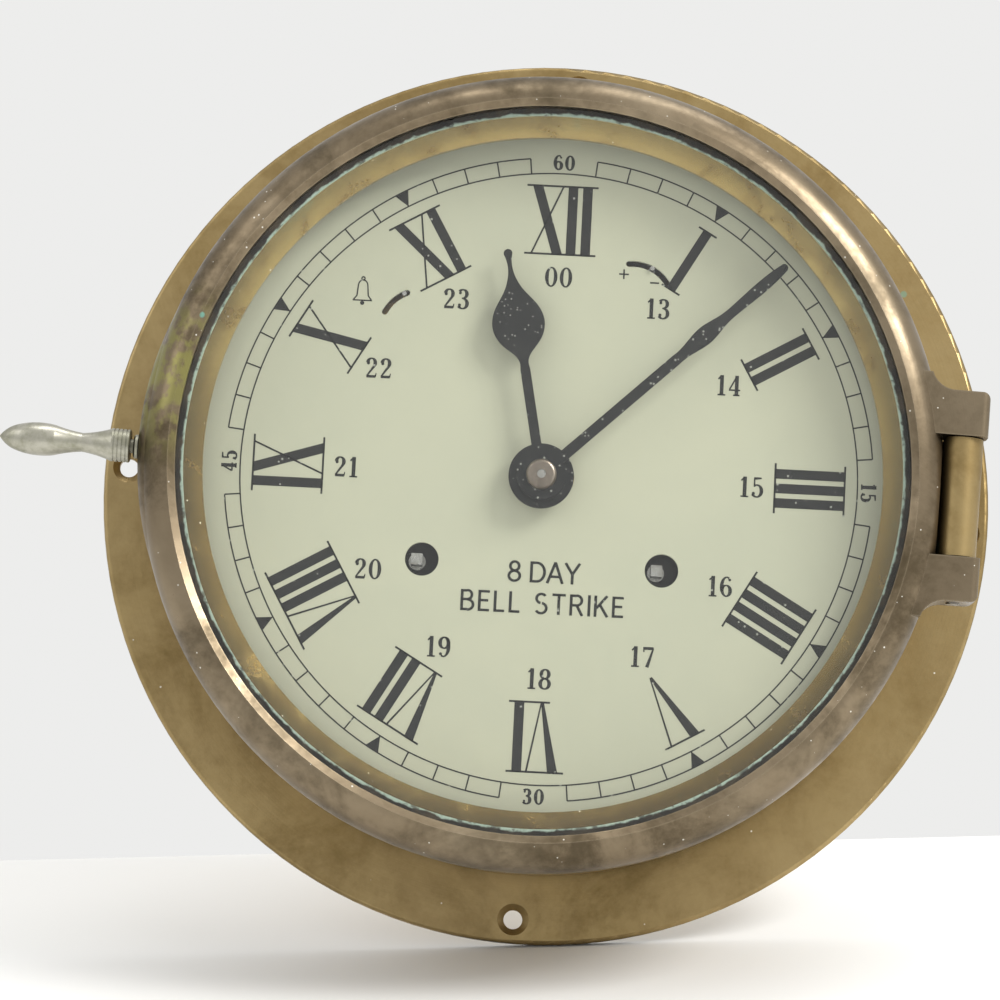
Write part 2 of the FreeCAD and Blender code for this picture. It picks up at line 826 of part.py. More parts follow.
def arbor_holes():
    """Pivot holes that both plates share: place and arbor radius."""
    plain = [(0.0, 0.0), second_place, third_place, fourth_place, pin_wheel_place, warning_place, fly_place,
             hammer_arbor]
    heavy = [going_barrel_place, strike_barrel_place]
    return [(place, arbor_radius) for place in plain] + [(place, heavy_arbor_radius) for place in heavy]


def pillar_places():
    return [polar(pillar_circle, angle) for angle in pillar_angles]


def foot_places():
    return [polar(dial_foot_circle, angle) for angle in dial_foot_angles]


def front_plate():
    solid = disc(plate_radius, front_plate_back, front_plate_front)
    for angle in mount_angles:
        tip = drum_bore - ear_gap
        ear = bar((0.0, 0.0), polar(tip, angle), plate_ear_width, front_plate_back, front_plate_front)
        solid = solid.fuse(ear)
    solid = solid.removeSplitter()
    for angle in mount_angles:
        place = polar(drum_bore - ear_gap - mount_screw_inset, angle)
        solid = solid.cut(disc(mount_screw_radius, 0.0, drum_front, place))
    for place, radius in arbor_holes() + [(escape_place, arbor_radius)]:
        solid = solid.cut(disc(radius + running_clearance, 0.0, drum_front, place))
    for place in pillar_places():
        solid = solid.cut(disc(small_screw_radius, 0.0, drum_front, place))
    for place in cock_post_places() + [silent_centre, minute_wheel_place] + click_places():
        solid = solid.cut(disc(small_screw_radius, front_plate_back - 1, drum_front, place))
    solid = solid.cut(disc(0.5 + running_clearance, front_plate_front - 1.2, drum_front, lever_place()))
    solid = solid.cut(disc(0.5 + running_clearance, front_plate_front - 1.2, drum_front, balance_centre))
    solid.translate(Vector(movement_shift[0], 0, movement_shift[1]))
    for place in foot_places():
        solid = solid.cut(disc(dial_foot_radius + running_clearance, 0.0, drum_front, place))
    return on_dial(solid)


def back_plate():
    solid = disc(plate_radius, back_plate_back, back_plate_front)
    for place, radius in arbor_holes():
        solid = solid.cut(disc(radius + running_clearance, 0.0, drum_front, place))
    for place in pillar_places():
        solid = solid.cut(disc(small_screw_radius, 0.0, drum_front, place))
    solid = solid.cut(disc(bell_stud_radius, 0.0, drum_front, bell_post_place))
    return in_movement(solid)


def plate_pillars():
    pillars = []
    for place in pillar_places():
        waist = 0.75 * pillar_radius
        profile = [(small_screw_radius, back_plate_front), (pillar_radius, back_plate_front),
                   (pillar_radius, back_plate_front + 3.0), (waist, back_plate_front + 4.0),
                   (waist, front_plate_back - 4.0), (pillar_radius, front_plate_back - 3.0),
                   (pillar_radius, front_plate_back), (small_screw_radius, front_plate_back)]
        pillars.append(in_movement(turned(profile, place)))
    return Part.makeCompound(pillars)


def screw(place, seat_out, direction, length, radius=small_screw_radius, head_radius=small_head_radius):
    """A cheese-head screw; direction is 1 when its head stands out towards the dial."""
    head = sorted((seat_out, seat_out + direction * small_head_height))
    shank = sorted((seat_out, seat_out - direction * length))
    groove = sorted((seat_out + direction * 0.9, seat_out + direction * 3.0))
    solid = disc(head_radius, head[0], head[1], place).fuse(disc(radius, shank[0], shank[1], place))
    return solid.cut(bar(polar(5, 35, place), polar(5, 215, place), 0.7, groove[0], groove[1]))


def pillar_screws():
    screws = []
    for place in pillar_places():
        screws.append(in_movement(screw(place, front_plate_front, 1,
                                        front_plate_thickness + small_screw_length)))
        screws.append(in_movement(screw(place, back_plate_back, -1,
                                        back_plate_thickness + small_screw_length)))
    return Part.makeCompound(screws)


def mount_screws():
    screws = []
    for angle in mount_angles:
        place = polar(drum_bore - ear_gap - mount_screw_inset, angle)
        length = front_plate_thickness + mount_screw_grip
        screws.append(in_movement(screw(place, front_plate_front, 1, length, mount_screw_radius,
                                        mount_screw_head_radius)))
    return Part.makeCompound(screws)


def dial_plate():
    solid = disc(dial_radius, dial_back, dial_front)
    solid = solid.cut(disc(dial_centre_hole, 0.0, 2 * drum_front))
    for side in (-1, 1):
        place = (winding_hole_shift + side * winding_hole_spread, -winding_drop)
        solid = solid.cut(disc(winding_hole_radius, 0.0, 2 * drum_front, place))
    for place, ends in ((balance_place, regulator_slot), (silent_place, silent_slot)):
        solid = solid.cut(slot(place, index_radius, index_slot_width, ends, dial_back - 1, dial_front + 1))
    feet = [disc(dial_foot_radius, front_plate_back - dial_foot_end, dial_back,
                 place) for place in foot_places()]
    return on_dial(cut_all(fuse([solid] + feet), [pin_through_foot(place) for place in foot_places()]))


def pin_through_foot(place):
    out = front_plate_back - dial_foot_pin_radius - 0.1
    base = Vector(place[0] - dial_foot_pin_length / 2, -out, place[1])
    return Part.makeCylinder(dial_foot_pin_radius, dial_foot_pin_length, base, Vector(1, 0, 0))


def dial_foot_pins():
    return Part.makeCompound([on_dial(pin_through_foot(place)) for place in foot_places()])


# ---- bell


def bell():
    back = cover_front + bell_cover_gap
    rim = back_plate_back - bell_plate_gap
    centre = bell_post_place
    bend = (bell_flat_radius + 0.8 * (bell_radius - bell_flat_radius), back + 0.3 * (rim - back))
    inner_bend = (bend[0] - bell_wall, bend[1] + 0.35 * bell_wall)
    return in_movement(turned([
        (bell_stud_radius, back),
        (bell_flat_radius, back),
        (bend, (bell_radius, rim)),
        (bell_radius - bell_wall, rim),
        (inner_bend, (bell_flat_radius - 1.0, back + bell_wall)),
        (bell_stud_radius, back + bell_wall),
    ], centre))


def bell_post():
    centre = bell_post_place
    back = cover_front + bell_cover_gap
    post = disc(bell_post_radius, back + bell_wall, back_plate_back, centre)
    stud = disc(bell_stud_radius, back - bell_nut_height, back_plate_front, centre)
    return in_movement(post.fuse(stud))


def bell_nut():
    centre = bell_post_place
    back = cover_front + bell_cover_gap
    corners = [polar(bell_nut_radius, 60.0 * index, centre) for index in range(6)]
    nut = plate(corners, back - bell_nut_height, back)
    return in_movement(nut.cut(disc(bell_stud_radius, 0.0, drum_front, centre)))


def hammer():
    arm_front = back_plate_back - 0.5
    arm_back = arm_front - hammer_arm_thickness
    arbor = disc(arbor_radius, arm_back, front_plate_front, hammer_arbor)
    hub = disc(3.0, arm_back, arm_front, hammer_arbor)
    arm = bar(hammer_arbor, hammer_head, hammer_arm_width, arm_back, arm_front)
    head = disc(hammer_head_radius, arm_front - hammer_head_length, arm_front, hammer_head)
    tail_end = polar(hammer_tail, bearing_of(hammer_arbor, pin_wheel_place), hammer_arbor)
    tail = bar(hammer_arbor, tail_end, 1.6, pin_wheel_back + 2.2, pin_wheel_back + 3.6)
    return in_movement(fuse([arbor, hub, arm, head, tail]))


# ---- going train


def centre_arbor():
    pinion = gear(train_pinion_leaves, second_module, second_wheel_back - 0.6,
                  second_wheel_back + wheel_thickness + 0.6)
    arbor = disc(arbor_radius, back_plate_back, minute_hand_out + hand_thickness + hand_nut_height - 0.3)
    return in_movement(fuse([pinion, arbor]))


def centre_wheel():
    solid = wheel(centre_teeth, centre_module, centre_wheel_back, 0.0, (0.0, 0.0))
    return in_movement(solid.cut(disc(arbor_radius, 0.0, drum_front)))


def train_unit(place, pinion_module, pinion_back, pinion_front, pinion_bearing, wheel_spec=None):
    """A pinion and its wheel riveted on one arbor; wheel_spec is (teeth, module, back, tooth bearing)."""
    pieces = [
        disc(arbor_radius, back_plate_back, front_plate_front, place),
        gear(train_pinion_leaves, pinion_module, pinion_back, pinion_front, pinion_bearing, place),
    ]
    if wheel_spec:
        teeth, module, back, tooth_bearing = wheel_spec
        pieces.append(wheel(teeth, module, back, tooth_bearing, place))
    return in_movement(fuse(pieces))


def second_wheel():
    wheel_bearing = mate_bearing(train_pinion_leaves, 0.0, (0.0, 0.0), second_teeth, second_place)
    return train_unit(second_place, barrel_module, barrel_tooth_back - 0.8, barrel_front + 0.8, 0.0,
                      (second_teeth, second_module, second_wheel_back, wheel_bearing))


def third_wheel():
    pinion_bearing = mate_bearing(centre_teeth, 0.0, (0.0, 0.0), train_pinion_leaves, third_place)
    return train_unit(third_place, centre_module, centre_wheel_back - 0.8,
                      centre_wheel_back + wheel_thickness + 0.8,
                      pinion_bearing, (third_teeth, third_module, third_wheel_back, 0.0))


def fourth_wheel():
    pinion_bearing = mate_bearing(third_teeth, 0.0, third_place, train_pinion_leaves, fourth_place)
    return train_unit(fourth_place, third_module, third_wheel_back - 0.8,
                      third_wheel_back + wheel_thickness + 0.8,
                      pinion_bearing, (fourth_teeth, fourth_module, fourth_wheel_back, 0.0))


def escape_wheel():
    points = []
    for tooth in range(escape_teeth):
        start = 360.0 * tooth / escape_teeth
        points += [polar(escape_radius - 1.4, start, escape_place),
                   polar(escape_radius, start + 3.0, escape_place),
                   polar(escape_radius, start + 6.0, escape_place),
                   polar(escape_radius - 1.2, start + 15.0, escape_place)]
    blade = plate(points, escape_back, escape_back + 0.8)
    blade = crossed(blade, escape_radius - 2.4, 1.9, 4, escape_back, escape_back + 0.8, escape_place)
    boss = disc(1.9, escape_back, escape_back + 0.8, escape_place)
    pinion = disc(escape_pinion_radius, fourth_wheel_back - 0.5, fourth_wheel_back + wheel_thickness + 0.5,
                  escape_place)
    arbor = disc(arbor_radius, fourth_wheel_back - 2.0, cock_back - 0.1, escape_place)
    return in_movement(fuse([blade, boss, pinion, arbor]))


def lever_place():
    """The lever's pivot stands between the escape wheel and the balance."""
    line = bearing_of(escape_place, balance_centre)
    return polar(escape_radius + 2.6, line, escape_place)


def pallet_lever():
    pivot = lever_place()
    line = bearing_of(pivot, balance_centre)
    fork_end = polar(math.dist(pivot, balance_centre) - 3.4, line, pivot)
    top = escape_back + 0.8
    pieces = [disc(1.2, escape_back, top, pivot), bar(pivot, fork_end, 1.2, escape_back, top)]
    pieces.append(disc(0.5, front_plate_front - 1.0, cock_back - 0.1, pivot))
    for side in (-1, 1):
        arm = polar(3.6, line + side * 112.0, pivot)
        pieces.append(bar(pivot, arm, 1.0, escape_back, top))
        horn = polar(1.5, line + side * 50.0, fork_end)
        pieces.append(bar(fork_end, horn, 0.7, escape_back, top))
    return in_movement(fuse(pieces))


def balance_wheel():
    front = balance_back + 1.0
    rim = tube(balance_radius, balance_radius - balance_rim, balance_back, front, balance_centre)
    arm = bar(polar(balance_radius - 0.5, 30, balance_centre),
              polar(balance_radius - 0.5, 210, balance_centre),
              1.6, balance_back + 0.2, front - 0.2)
    hub = disc(1.5, balance_back, front + 0.3, balance_centre)
    staff = disc(0.5, front_plate_front - 1.0, cock_front - 0.3, balance_centre)
    return in_movement(fuse([rim, arm, hub, staff]))


def hairspring():
    coil = spiral_strip(balance_centre, 1.2, hairspring_pitch, 2 * hairspring_turns, hairspring_thickness,
                        hairspring_back, hairspring_back + 0.5)
    collet = tube(1.25, 0.5, hairspring_back, hairspring_back + 0.5, balance_centre)
    return in_movement(coil.fuse(collet))


def cock_post_places():
    return [polar(balance_radius + 3.4, bearing, balance_centre) for bearing in (-75.0, 200.0)] + [
        polar(escape_radius + 4.2, 60.0, escape_place)]


def escapement_cock():
    """One thin bridge over the balance, the lever and the escape wheel."""
    posts = cock_post_places()
    arms = [bar(balance_centre, place, 5.0, cock_back, cock_front) for place in posts[:2]]
    arms.append(bar(balance_centre, escape_place, 5.0, cock_back, cock_front))
    arms.append(bar(escape_place, posts[2], 5.0, cock_back, cock_front))
    rounds = [disc(3.0, cock_back, cock_front, place) for place in posts + [escape_place, lever_place()]]
    solid = fuse(arms + rounds + [disc(3.6, cock_back, cock_front, balance_centre)])
    for place in posts:
        solid = solid.cut(disc(small_screw_radius, 0.0, drum_front, place))
    solid = solid.cut(disc(0.5 + running_clearance, 0.0, drum_front, balance_centre))
    return in_movement(solid)


def cock_posts():
    return Part.makeCompound([in_movement(tube(2.2, small_screw_radius, front_plate_front, cock_back, place))
                              for place in cock_post_places()])


def cock_screws():
    length = cock_front - front_plate_back
    return Part.makeCompound([in_movement(disc(small_screw_radius, cock_front - length, cock_front,
                                               place).fuse(
        disc(2.2, cock_front, cock_front + 0.8, place))) for place in cock_post_places()])


def index_lever(place, bearing, pivot_back, pivot_front, collar):
    """A thin lever whose pin stands in a curved slot of the dial."""
    end = polar(index_radius, bearing, place)
    pieces = [bar(place, end, 2.0, pivot_back, pivot_front), disc(collar, pivot_back, pivot_front, place)]
    pieces.append(disc(1.0, pivot_back, pivot_front, end))
    pieces.append(disc(index_pin_radius, pivot_back, dial_front + 1.2, end))
    return fuse(pieces)


def regulator_lever():
    middle = sum(regulator_slot) / 2
    lever = index_lever(balance_centre, middle, regulator_back, regulator_front, 2.6)
    return in_movement(lever.cut(disc(0.9, 0.0, drum_front, balance_centre)))


def silent_lever():
    lever = index_lever(silent_centre, silent_slot[1] - 4.0, front_plate_front + 0.4,
                        front_plate_front + 1.6, 2.4)
    pivot = disc(small_screw_radius - running_clearance, front_plate_back, front_plate_front + 1.6,
                 silent_centre)
    return in_movement(lever.fuse(pivot))


# ---- motion work and hands


def cannon_pinion():
    pinion = gear(train_pinion_leaves, motion_module, front_plate_front + 0.8, front_plate_front + 2.8)
    pipe = disc(minute_pipe_radius, front_plate_front + 0.8, minute_hand_out)
    return in_movement(fuse([pinion, pipe]).cut(disc(arbor_radius + running_clearance, 0.0, 2 * drum_front)))


def minute_wheel():
    tooth = mate_bearing(train_pinion_leaves, 0.0, (0.0, 0.0), minute_wheel_teeth, minute_wheel_place)
    blank = gear(minute_wheel_teeth, motion_module, front_plate_front + 1.1, front_plate_front + 2.5, tooth,
                 minute_wheel_place)
    pinion = gear(train_pinion_leaves, hour_module, front_plate_front + 2.5, front_plate_front + 5.2, 0.0,
                  minute_wheel_place)
    return in_movement(fuse([blank, pinion]).cut(disc(small_screw_radius + running_clearance, 0.0,
                                                      drum_front, minute_wheel_place)))


def minute_wheel_stud():
    stud = disc(small_screw_radius, front_plate_back, front_plate_front + 5.6, minute_wheel_place)
    shoulder = tube(1.7, small_screw_radius, front_plate_front, front_plate_front + 0.6, minute_wheel_place)
    return in_movement(stud.fuse(shoulder))


def hour_wheel():
    tooth = mate_bearing(train_pinion_leaves, 0.0, minute_wheel_place, hour_wheel_teeth, (0.0, 0.0))
    blank = gear(hour_wheel_teeth, hour_module, front_plate_front + 3.2, front_plate_front + 4.7, tooth)
    pipe = disc(hour_pipe_radius, front_plate_front + 3.2, hour_hand_out + hand_thickness)
    return in_movement(fuse([blank, pipe]).cut(disc(minute_pipe_radius + running_clearance, 0.0,
                                                    2 * drum_front)))


def curve(points, to_vector):
    spline = Part.BSplineCurve()
    spline.interpolate([to_vector(p) for p in points])
    return spline.toShape()


def hand(sides, tip_points, hub_radius, bore, back, bearing):
    """A flat hand: a hub disc and a blade with a straight stem; sides is (half width, reach)."""

    def to_vector(point):
        return Vector(point[0], -back, point[1])

    mirror = [(-x, z) for x, z in sides]
    left_tip, middle_tip, right_tip = (-tip_points[0], tip_points[1]), (0.0, tip_points[2]), tip_points[:2]
    edges = [Part.makeLine(to_vector(sides[0]), to_vector(sides[1])), curve(sides[1:], to_vector)]
    edges.append(Part.Arc(to_vector(right_tip), to_vector(middle_tip), to_vector(left_tip)).toShape())
    edges.append(curve(list(reversed(mirror[1:])), to_vector))
    edges.append(Part.makeLine(to_vector(mirror[1]), to_vector(mirror[0])))
    edges.append(Part.makeLine(to_vector(mirror[0]), to_vector(sides[0])))
    blade = Part.Face(Part.Wire(edges)).extrude(Vector(0, -hand_thickness, 0))
    solid = fuse([disc(hub_radius, back, back + hand_thickness), blade]).cut(disc(bore, back - 1, back + 2))
    solid.rotate(Vector(0, 0, 0), Vector(0, 1, 0), bearing)
    return in_movement(solid)


def hour_hand():
    stem = hour_stem_width / 2
    wide = hour_bulb_width / 2
    tip = hour_tip_width / 2
    low = hour_bulb_place
    reach = hour_hand_length
    sides = [(stem, hour_hub_radius - 1.0), (stem, low - 13.0), (stem + 0.2, low - 9.8),
             (0.70 * wide, low - 5.6),
             (wide, low), (0.82 * wide, low + 4.8), (0.36 * wide, low + 9.8), (tip, low + 13.0),
             (tip, reach - tip)]
    return hand(sides, (tip, reach - tip, reach), hour_hub_radius, hour_pipe_radius, hour_hand_out,
                hour_hand_angle)


def minute_hand():
    stem = minute_stem_width / 2
    wide = minute_swelling_width / 2
    tip = minute_tip_width / 2
    low = minute_swelling_place
    reach = minute_hand_length
    sides = [(stem, minute_hub_radius - 1.0), (stem, low - 11.0), (stem, low - 8.0), (wide, low),
             (stem, low + 7.0), (stem - 0.1, low + 12.0), (tip, reach - tip)]
    bore = arbor_radius + running_clearance
    return hand(sides, (tip, reach - tip, reach), minute_hub_radius, bore, minute_hand_out, minute_hand_angle)


def hand_nut():
    seat = minute_hand_out + hand_thickness
    top = seat + hand_nut_height
    bore = arbor_radius + running_clearance
    return in_movement(turned([
        (bore, seat),
        (hand_nut_radius, seat),
        (hand_nut_radius, top - 0.9),
        ((hand_nut_radius - 0.5, top - 0.2), (hand_nut_radius - 1.4, top)),
        (bore, top),
    ]))


# ---- barrels, used by both trains


def barrel(place, tooth_bearing):
    toothed = gear(barrel_teeth, barrel_module, barrel_tooth_back, barrel_front, tooth_bearing, place)
    drum = disc(barrel_radius, barrel_back + barrel_cover_thickness, barrel_front, place)
    hollow = disc(barrel_radius - barrel_wall, barrel_back - 1, barrel_front - barrel_wall, place)
    solid = fuse([toothed, drum]).cut(hollow)
    return in_movement(solid.cut(disc(heavy_arbor_radius + running_clearance, 0.0, drum_front, place)))


def barrel_cover(place):
    return in_movement(tube(barrel_radius, heavy_arbor_radius + running_clearance, barrel_back,
                            barrel_back + barrel_cover_thickness, place))


def mainspring(place):
    back = barrel_back + barrel_cover_thickness + 0.3
    front = barrel_front - barrel_wall - 0.3
    return in_movement(spiral_strip(place, heavy_arbor_radius + 0.7, spring_pitch, 2 * spring_turns,
                                    spring_thickness, back, front))


def winding_arbor(place):
    square_back = front_plate_front + 2.6
    shaft = disc(heavy_arbor_radius, back_plate_back, square_back, place)
    side = winding_square / 2
    corners = [(place[0] + x * side, place[1] + z * side) for x, z in ((-1, -1), (1, -1), (1, 1), (-1, 1))]
    return in_movement(shaft.fuse(plate(corners, square_back, dial_front - 0.3)))


def ratchet_wheel(place):
    points = []
    for tooth in range(ratchet_teeth):
        start = 360.0 * tooth / ratchet_teeth
        points += [polar(ratchet_radius, start, place), polar(ratchet_radius - ratchet_depth, start + 0.8,
                                                              place)]
    back = front_plate_front + 0.5
    solid = plate(points, back, back + ratchet_thickness)
    return in_movement(solid.cut(disc(heavy_arbor_radius, 0.0, drum_front, place)))


def click_pivot(place):
    bearing = -50.0 if place[0] > 0 else 50.0
    return polar(ratchet_radius + 4.6, bearing, place)


def click_places():
    return [click_pivot(going_barrel_place), click_pivot(strike_barrel_place)]


def click(place):
    """The pawl that holds the ratchet; it rests just off the tips of the teeth."""
    pivot = click_pivot(place)
    back = front_plate_front + 0.5
    side = 1 if place[0] > 0 else -1
    nose = polar(ratchet_radius + click_clearance, bearing_of(place, pivot) + side * 48.0, place)
    heel = polar(ratchet_radius + click_clearance + 1.6, bearing_of(place, pivot) + side * 46.0, place)
    base = polar(2.0, bearing_of(place, pivot), pivot)
    near = polar(ratchet_radius + 2.4, bearing_of(place, pivot) + side * 8.0, place)
    arm = plate([near, nose, heel, base], back, back + ratchet_thickness)
    solid = fuse([arm, disc(2.4, back, back + ratchet_thickness, pivot)])
    return in_movement(solid.cut(disc(small_screw_radius + running_clearance, 0.0, drum_front, pivot)))


def click_screws():
    back = front_plate_front + 0.5
    screws = []
    for place in click_places():
        head = disc(2.2, back + ratchet_thickness + 0.1, back + ratchet_thickness + 1.2, place)
        shank = disc(small_screw_radius, front_plate_back, back + ratchet_thickness + 0.2, place)
        screws.append(in_movement(head.fuse(shank)))
    return Part.makeCompound(screws)


# ---- strike train


def count_wheel():
    """A disc on the strike barrel whose notches stand 1, 2, 3 ... 12 strokes apart."""
    back = barrel_front
    solid = tube(16.0, heavy_arbor_radius + running_clearance, back, back + 0.9, strike_barrel_place)
    strokes = 0
    for hour in range(1, 13):
        strokes += hour
        bearing = 360.0 * strokes / strokes_in_twelve_hours
        solid = solid.cut(bar(polar(14.2, bearing, strike_barrel_place),
                              polar(17.0, bearing, strike_barrel_place),
                              count_notch_width, back - 1, back + 2))
    return in_movement(solid)


def pin_wheel():
    pinion_bearing = mate_bearing(barrel_teeth, 0.0, strike_barrel_place, train_pinion_leaves,
                                  pin_wheel_place)
    pieces = [
        disc(arbor_radius, back_plate_back, front_plate_front, pin_wheel_place),
        gear(train_pinion_leaves, barrel_module, barrel_tooth_back - 0.8, barrel_front + 0.8,
             pinion_bearing, pin_wheel_place),
        wheel(pin_wheel_teeth, pin_wheel_module, pin_wheel_back, 0.0, pin_wheel_place),
    ]
    for index in range(lifting_pin_count):
        place = polar(lifting_pin_circle, 360.0 * index / lifting_pin_count + 20.0, pin_wheel_place)
        pieces.append(disc(lifting_pin_radius, pin_wheel_back, pin_wheel_back + wheel_thickness + 2.0, place))
    return in_movement(fuse(pieces))


def warning_wheel():
    pinion_bearing = mate_bearing(pin_wheel_teeth, 0.0, pin_wheel_place, train_pinion_leaves, warning_place)
    return train_unit(warning_place, pin_wheel_module, pin_wheel_back - 0.8,
                      pin_wheel_back + wheel_thickness + 0.8,
                      pinion_bearing, (warning_teeth, warning_module, warning_wheel_back, 0.0))


def fly():
    pinion_bearing = mate_bearing(warning_teeth, 0.0, warning_place, train_pinion_leaves, fly_place)
    pinion = gear(train_pinion_leaves, warning_module, warning_wheel_back - 0.8,
                  warning_wheel_back + wheel_thickness + 0.8,
                  pinion_bearing, fly_place)
    arbor = disc(arbor_radius, back_plate_back, front_plate_front, fly_place)
    vane_back = warning_wheel_back + 3.2
    vane = bar(polar(fly_reach, 40, fly_place), polar(fly_reach, 220, fly_place), 0.6, vane_back,
               vane_back + fly_height)
    return in_movement(fuse([arbor, pinion, vane]))


def glass():
    return disc(glass_radius, glass_back, glass_front, bezel_centre)


def glass_gasket():
    return tube(glass_radius, sight_outer, sight_front, glass_back, bezel_centre)


going_tooth_bearing = mate_bearing(train_pinion_leaves, 0.0, second_place, barrel_teeth, going_barrel_place)

os.makedirs("parts", exist_ok=True)

save("mounting_flange", mounting_flange())
save("case_drum", case_drum())
save("rear_cover", rear_cover())
save("rear_cover_screws", cover_screws())
save("hinge_pin", hinge_pin())
save("bezel_ring", bezel_ring())
save("bezel_glass", glass())
save("glass_gasket", glass_gasket())
save("sight_ring", sight_ring())
save("clamp_screw", clamp_screw())
save("clamp_washer", clamp_washer())
save("dial_plate", dial_plate())
save("dial_foot_pins", dial_foot_pins())
save("front_plate", front_plate())
save("back_plate", back_plate())
save("plate_pillars", plate_pillars())
save("pillar_screws", pillar_screws())
save("mount_screws", mount_screws())
save("bell", bell())
save("bell_post", bell_post())
save("bell_nut", bell_nut())
save("hammer", hammer())
save("centre_arbor", centre_arbor())
save("centre_wheel", centre_wheel())
save("cannon_pinion", cannon_pinion())
save("minute_hand", minute_hand())
save("hand_nut", hand_nut())
save("minute_wheel", minute_wheel())
save("minute_wheel_stud", minute_wheel_stud())
save("hour_wheel", hour_wheel())
save("hour_hand", hour_hand())
save("second_wheel", second_wheel())
save("third_wheel", third_wheel())
save("fourth_wheel", fourth_wheel())
save("escape_wheel", escape_wheel())
save("pallet_lever", pallet_lever())
save("balance_wheel", balance_wheel())
save("hairspring", hairspring())
save("escapement_cock", escapement_cock())
save("cock_posts", cock_posts())
save("cock_screws", cock_screws())
save("regulator_lever", regulator_lever())
save("silent_lever", silent_lever())
save("click_screws", click_screws())
for train, place, tooth in (("going", going_barrel_place, going_tooth_bearing),
                            ("strike", strike_barrel_place, 0.0)):
    save(f"{train}_barrel", barrel(place, tooth))
    save(f"{train}_barrel_cover", barrel_cover(place))
    save(f"{train}_mainspring", mainspring(place))
    save(f"{train}_winding_arbor", winding_arbor(place))
    save(f"{train}_ratchet_wheel", ratchet_wheel(place))
    save(f"{train}_click", click(place))
save("count_wheel", count_wheel())
save("pin_wheel", pin_wheel())
save("warning_wheel", warning_wheel())
save("fly", fly())
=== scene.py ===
import math

import bpy
import numpy as np
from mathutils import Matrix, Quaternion, Vector


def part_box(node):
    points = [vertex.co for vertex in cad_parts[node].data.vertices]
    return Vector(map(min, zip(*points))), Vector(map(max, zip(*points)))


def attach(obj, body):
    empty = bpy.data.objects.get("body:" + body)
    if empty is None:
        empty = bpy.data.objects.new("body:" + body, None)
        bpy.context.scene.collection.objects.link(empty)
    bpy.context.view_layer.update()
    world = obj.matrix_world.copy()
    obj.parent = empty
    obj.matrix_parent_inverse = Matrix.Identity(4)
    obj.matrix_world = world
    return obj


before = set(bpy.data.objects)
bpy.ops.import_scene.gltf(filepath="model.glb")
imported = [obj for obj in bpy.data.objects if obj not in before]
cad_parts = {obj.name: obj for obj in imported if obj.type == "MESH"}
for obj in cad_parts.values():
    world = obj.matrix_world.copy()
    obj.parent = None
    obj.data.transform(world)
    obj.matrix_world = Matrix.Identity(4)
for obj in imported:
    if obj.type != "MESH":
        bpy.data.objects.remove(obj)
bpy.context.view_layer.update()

mm = 0.001
seatOf = {name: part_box(name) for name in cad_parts}  # lowest and highest corner of each node
print("frame loaded:", len(seatOf), "nodes")


# A net of quads over a grid of rows by columns; either way may close on itself.
def gridFaces(rows, columns, wrapRows, wrapColumns):
    row = np.arange(rows if wrapRows else rows - 1)[:, None]
    column = np.arange(columns if wrapColumns else columns - 1)[None, :]
    nextRow = (row + 1) % rows
    nextColumn = (column + 1) % columns
    faces = np.stack([row * columns + column, row * columns + nextColumn,
                      nextRow * columns + nextColumn, nextRow * columns + column], axis=-1)
    return faces.reshape(-1, 4)


# Six times the enclosed volume, positive when the faces look outwards.
def signedVolume(points, faces):
    a, b, c, d = (points[faces[:, k]] for k in range(4))
    first = np.einsum("ij,ij->i", a, np.cross(b, c)).sum()
    second = np.einsum("ij,ij->i", a, np.cross(c, d)).sum()
    return first + second


# Puts points (metres) and quads into a mesh object, with the faces turned outwards.
def meshObject(name, points, faces, smooth=True):
    centred = points - points.mean(0)
    if signedVolume(centred, faces) < 0:
        faces = faces[:, ::-1]
    mesh = bpy.data.meshes.new(name)
    mesh.vertices.add(len(points))
    mesh.vertices.foreach_set("co", points.astype(np.float32).ravel())
    mesh.loops.add(faces.size)
    mesh.loops.foreach_set("vertex_index", faces.astype(np.int32).ravel())
    mesh.polygons.add(len(faces))
    mesh.polygons.foreach_set("loop_start", np.arange(0, faces.size, 4, dtype=np.int32))
    mesh.polygons.foreach_set("use_smooth", np.full(len(faces), smooth))
    mesh.update(calc_edges=True)
    mesh.validate()
    piece = bpy.data.objects.new(name, mesh)
    bpy.context.scene.collection.objects.link(piece)
    return piece


# Gives a finished piece its material and its body.
def finishPiece(piece, material, body):
    piece.data.materials.clear()
    piece.data.materials.append(material)
    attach(piece, body)
    return piece


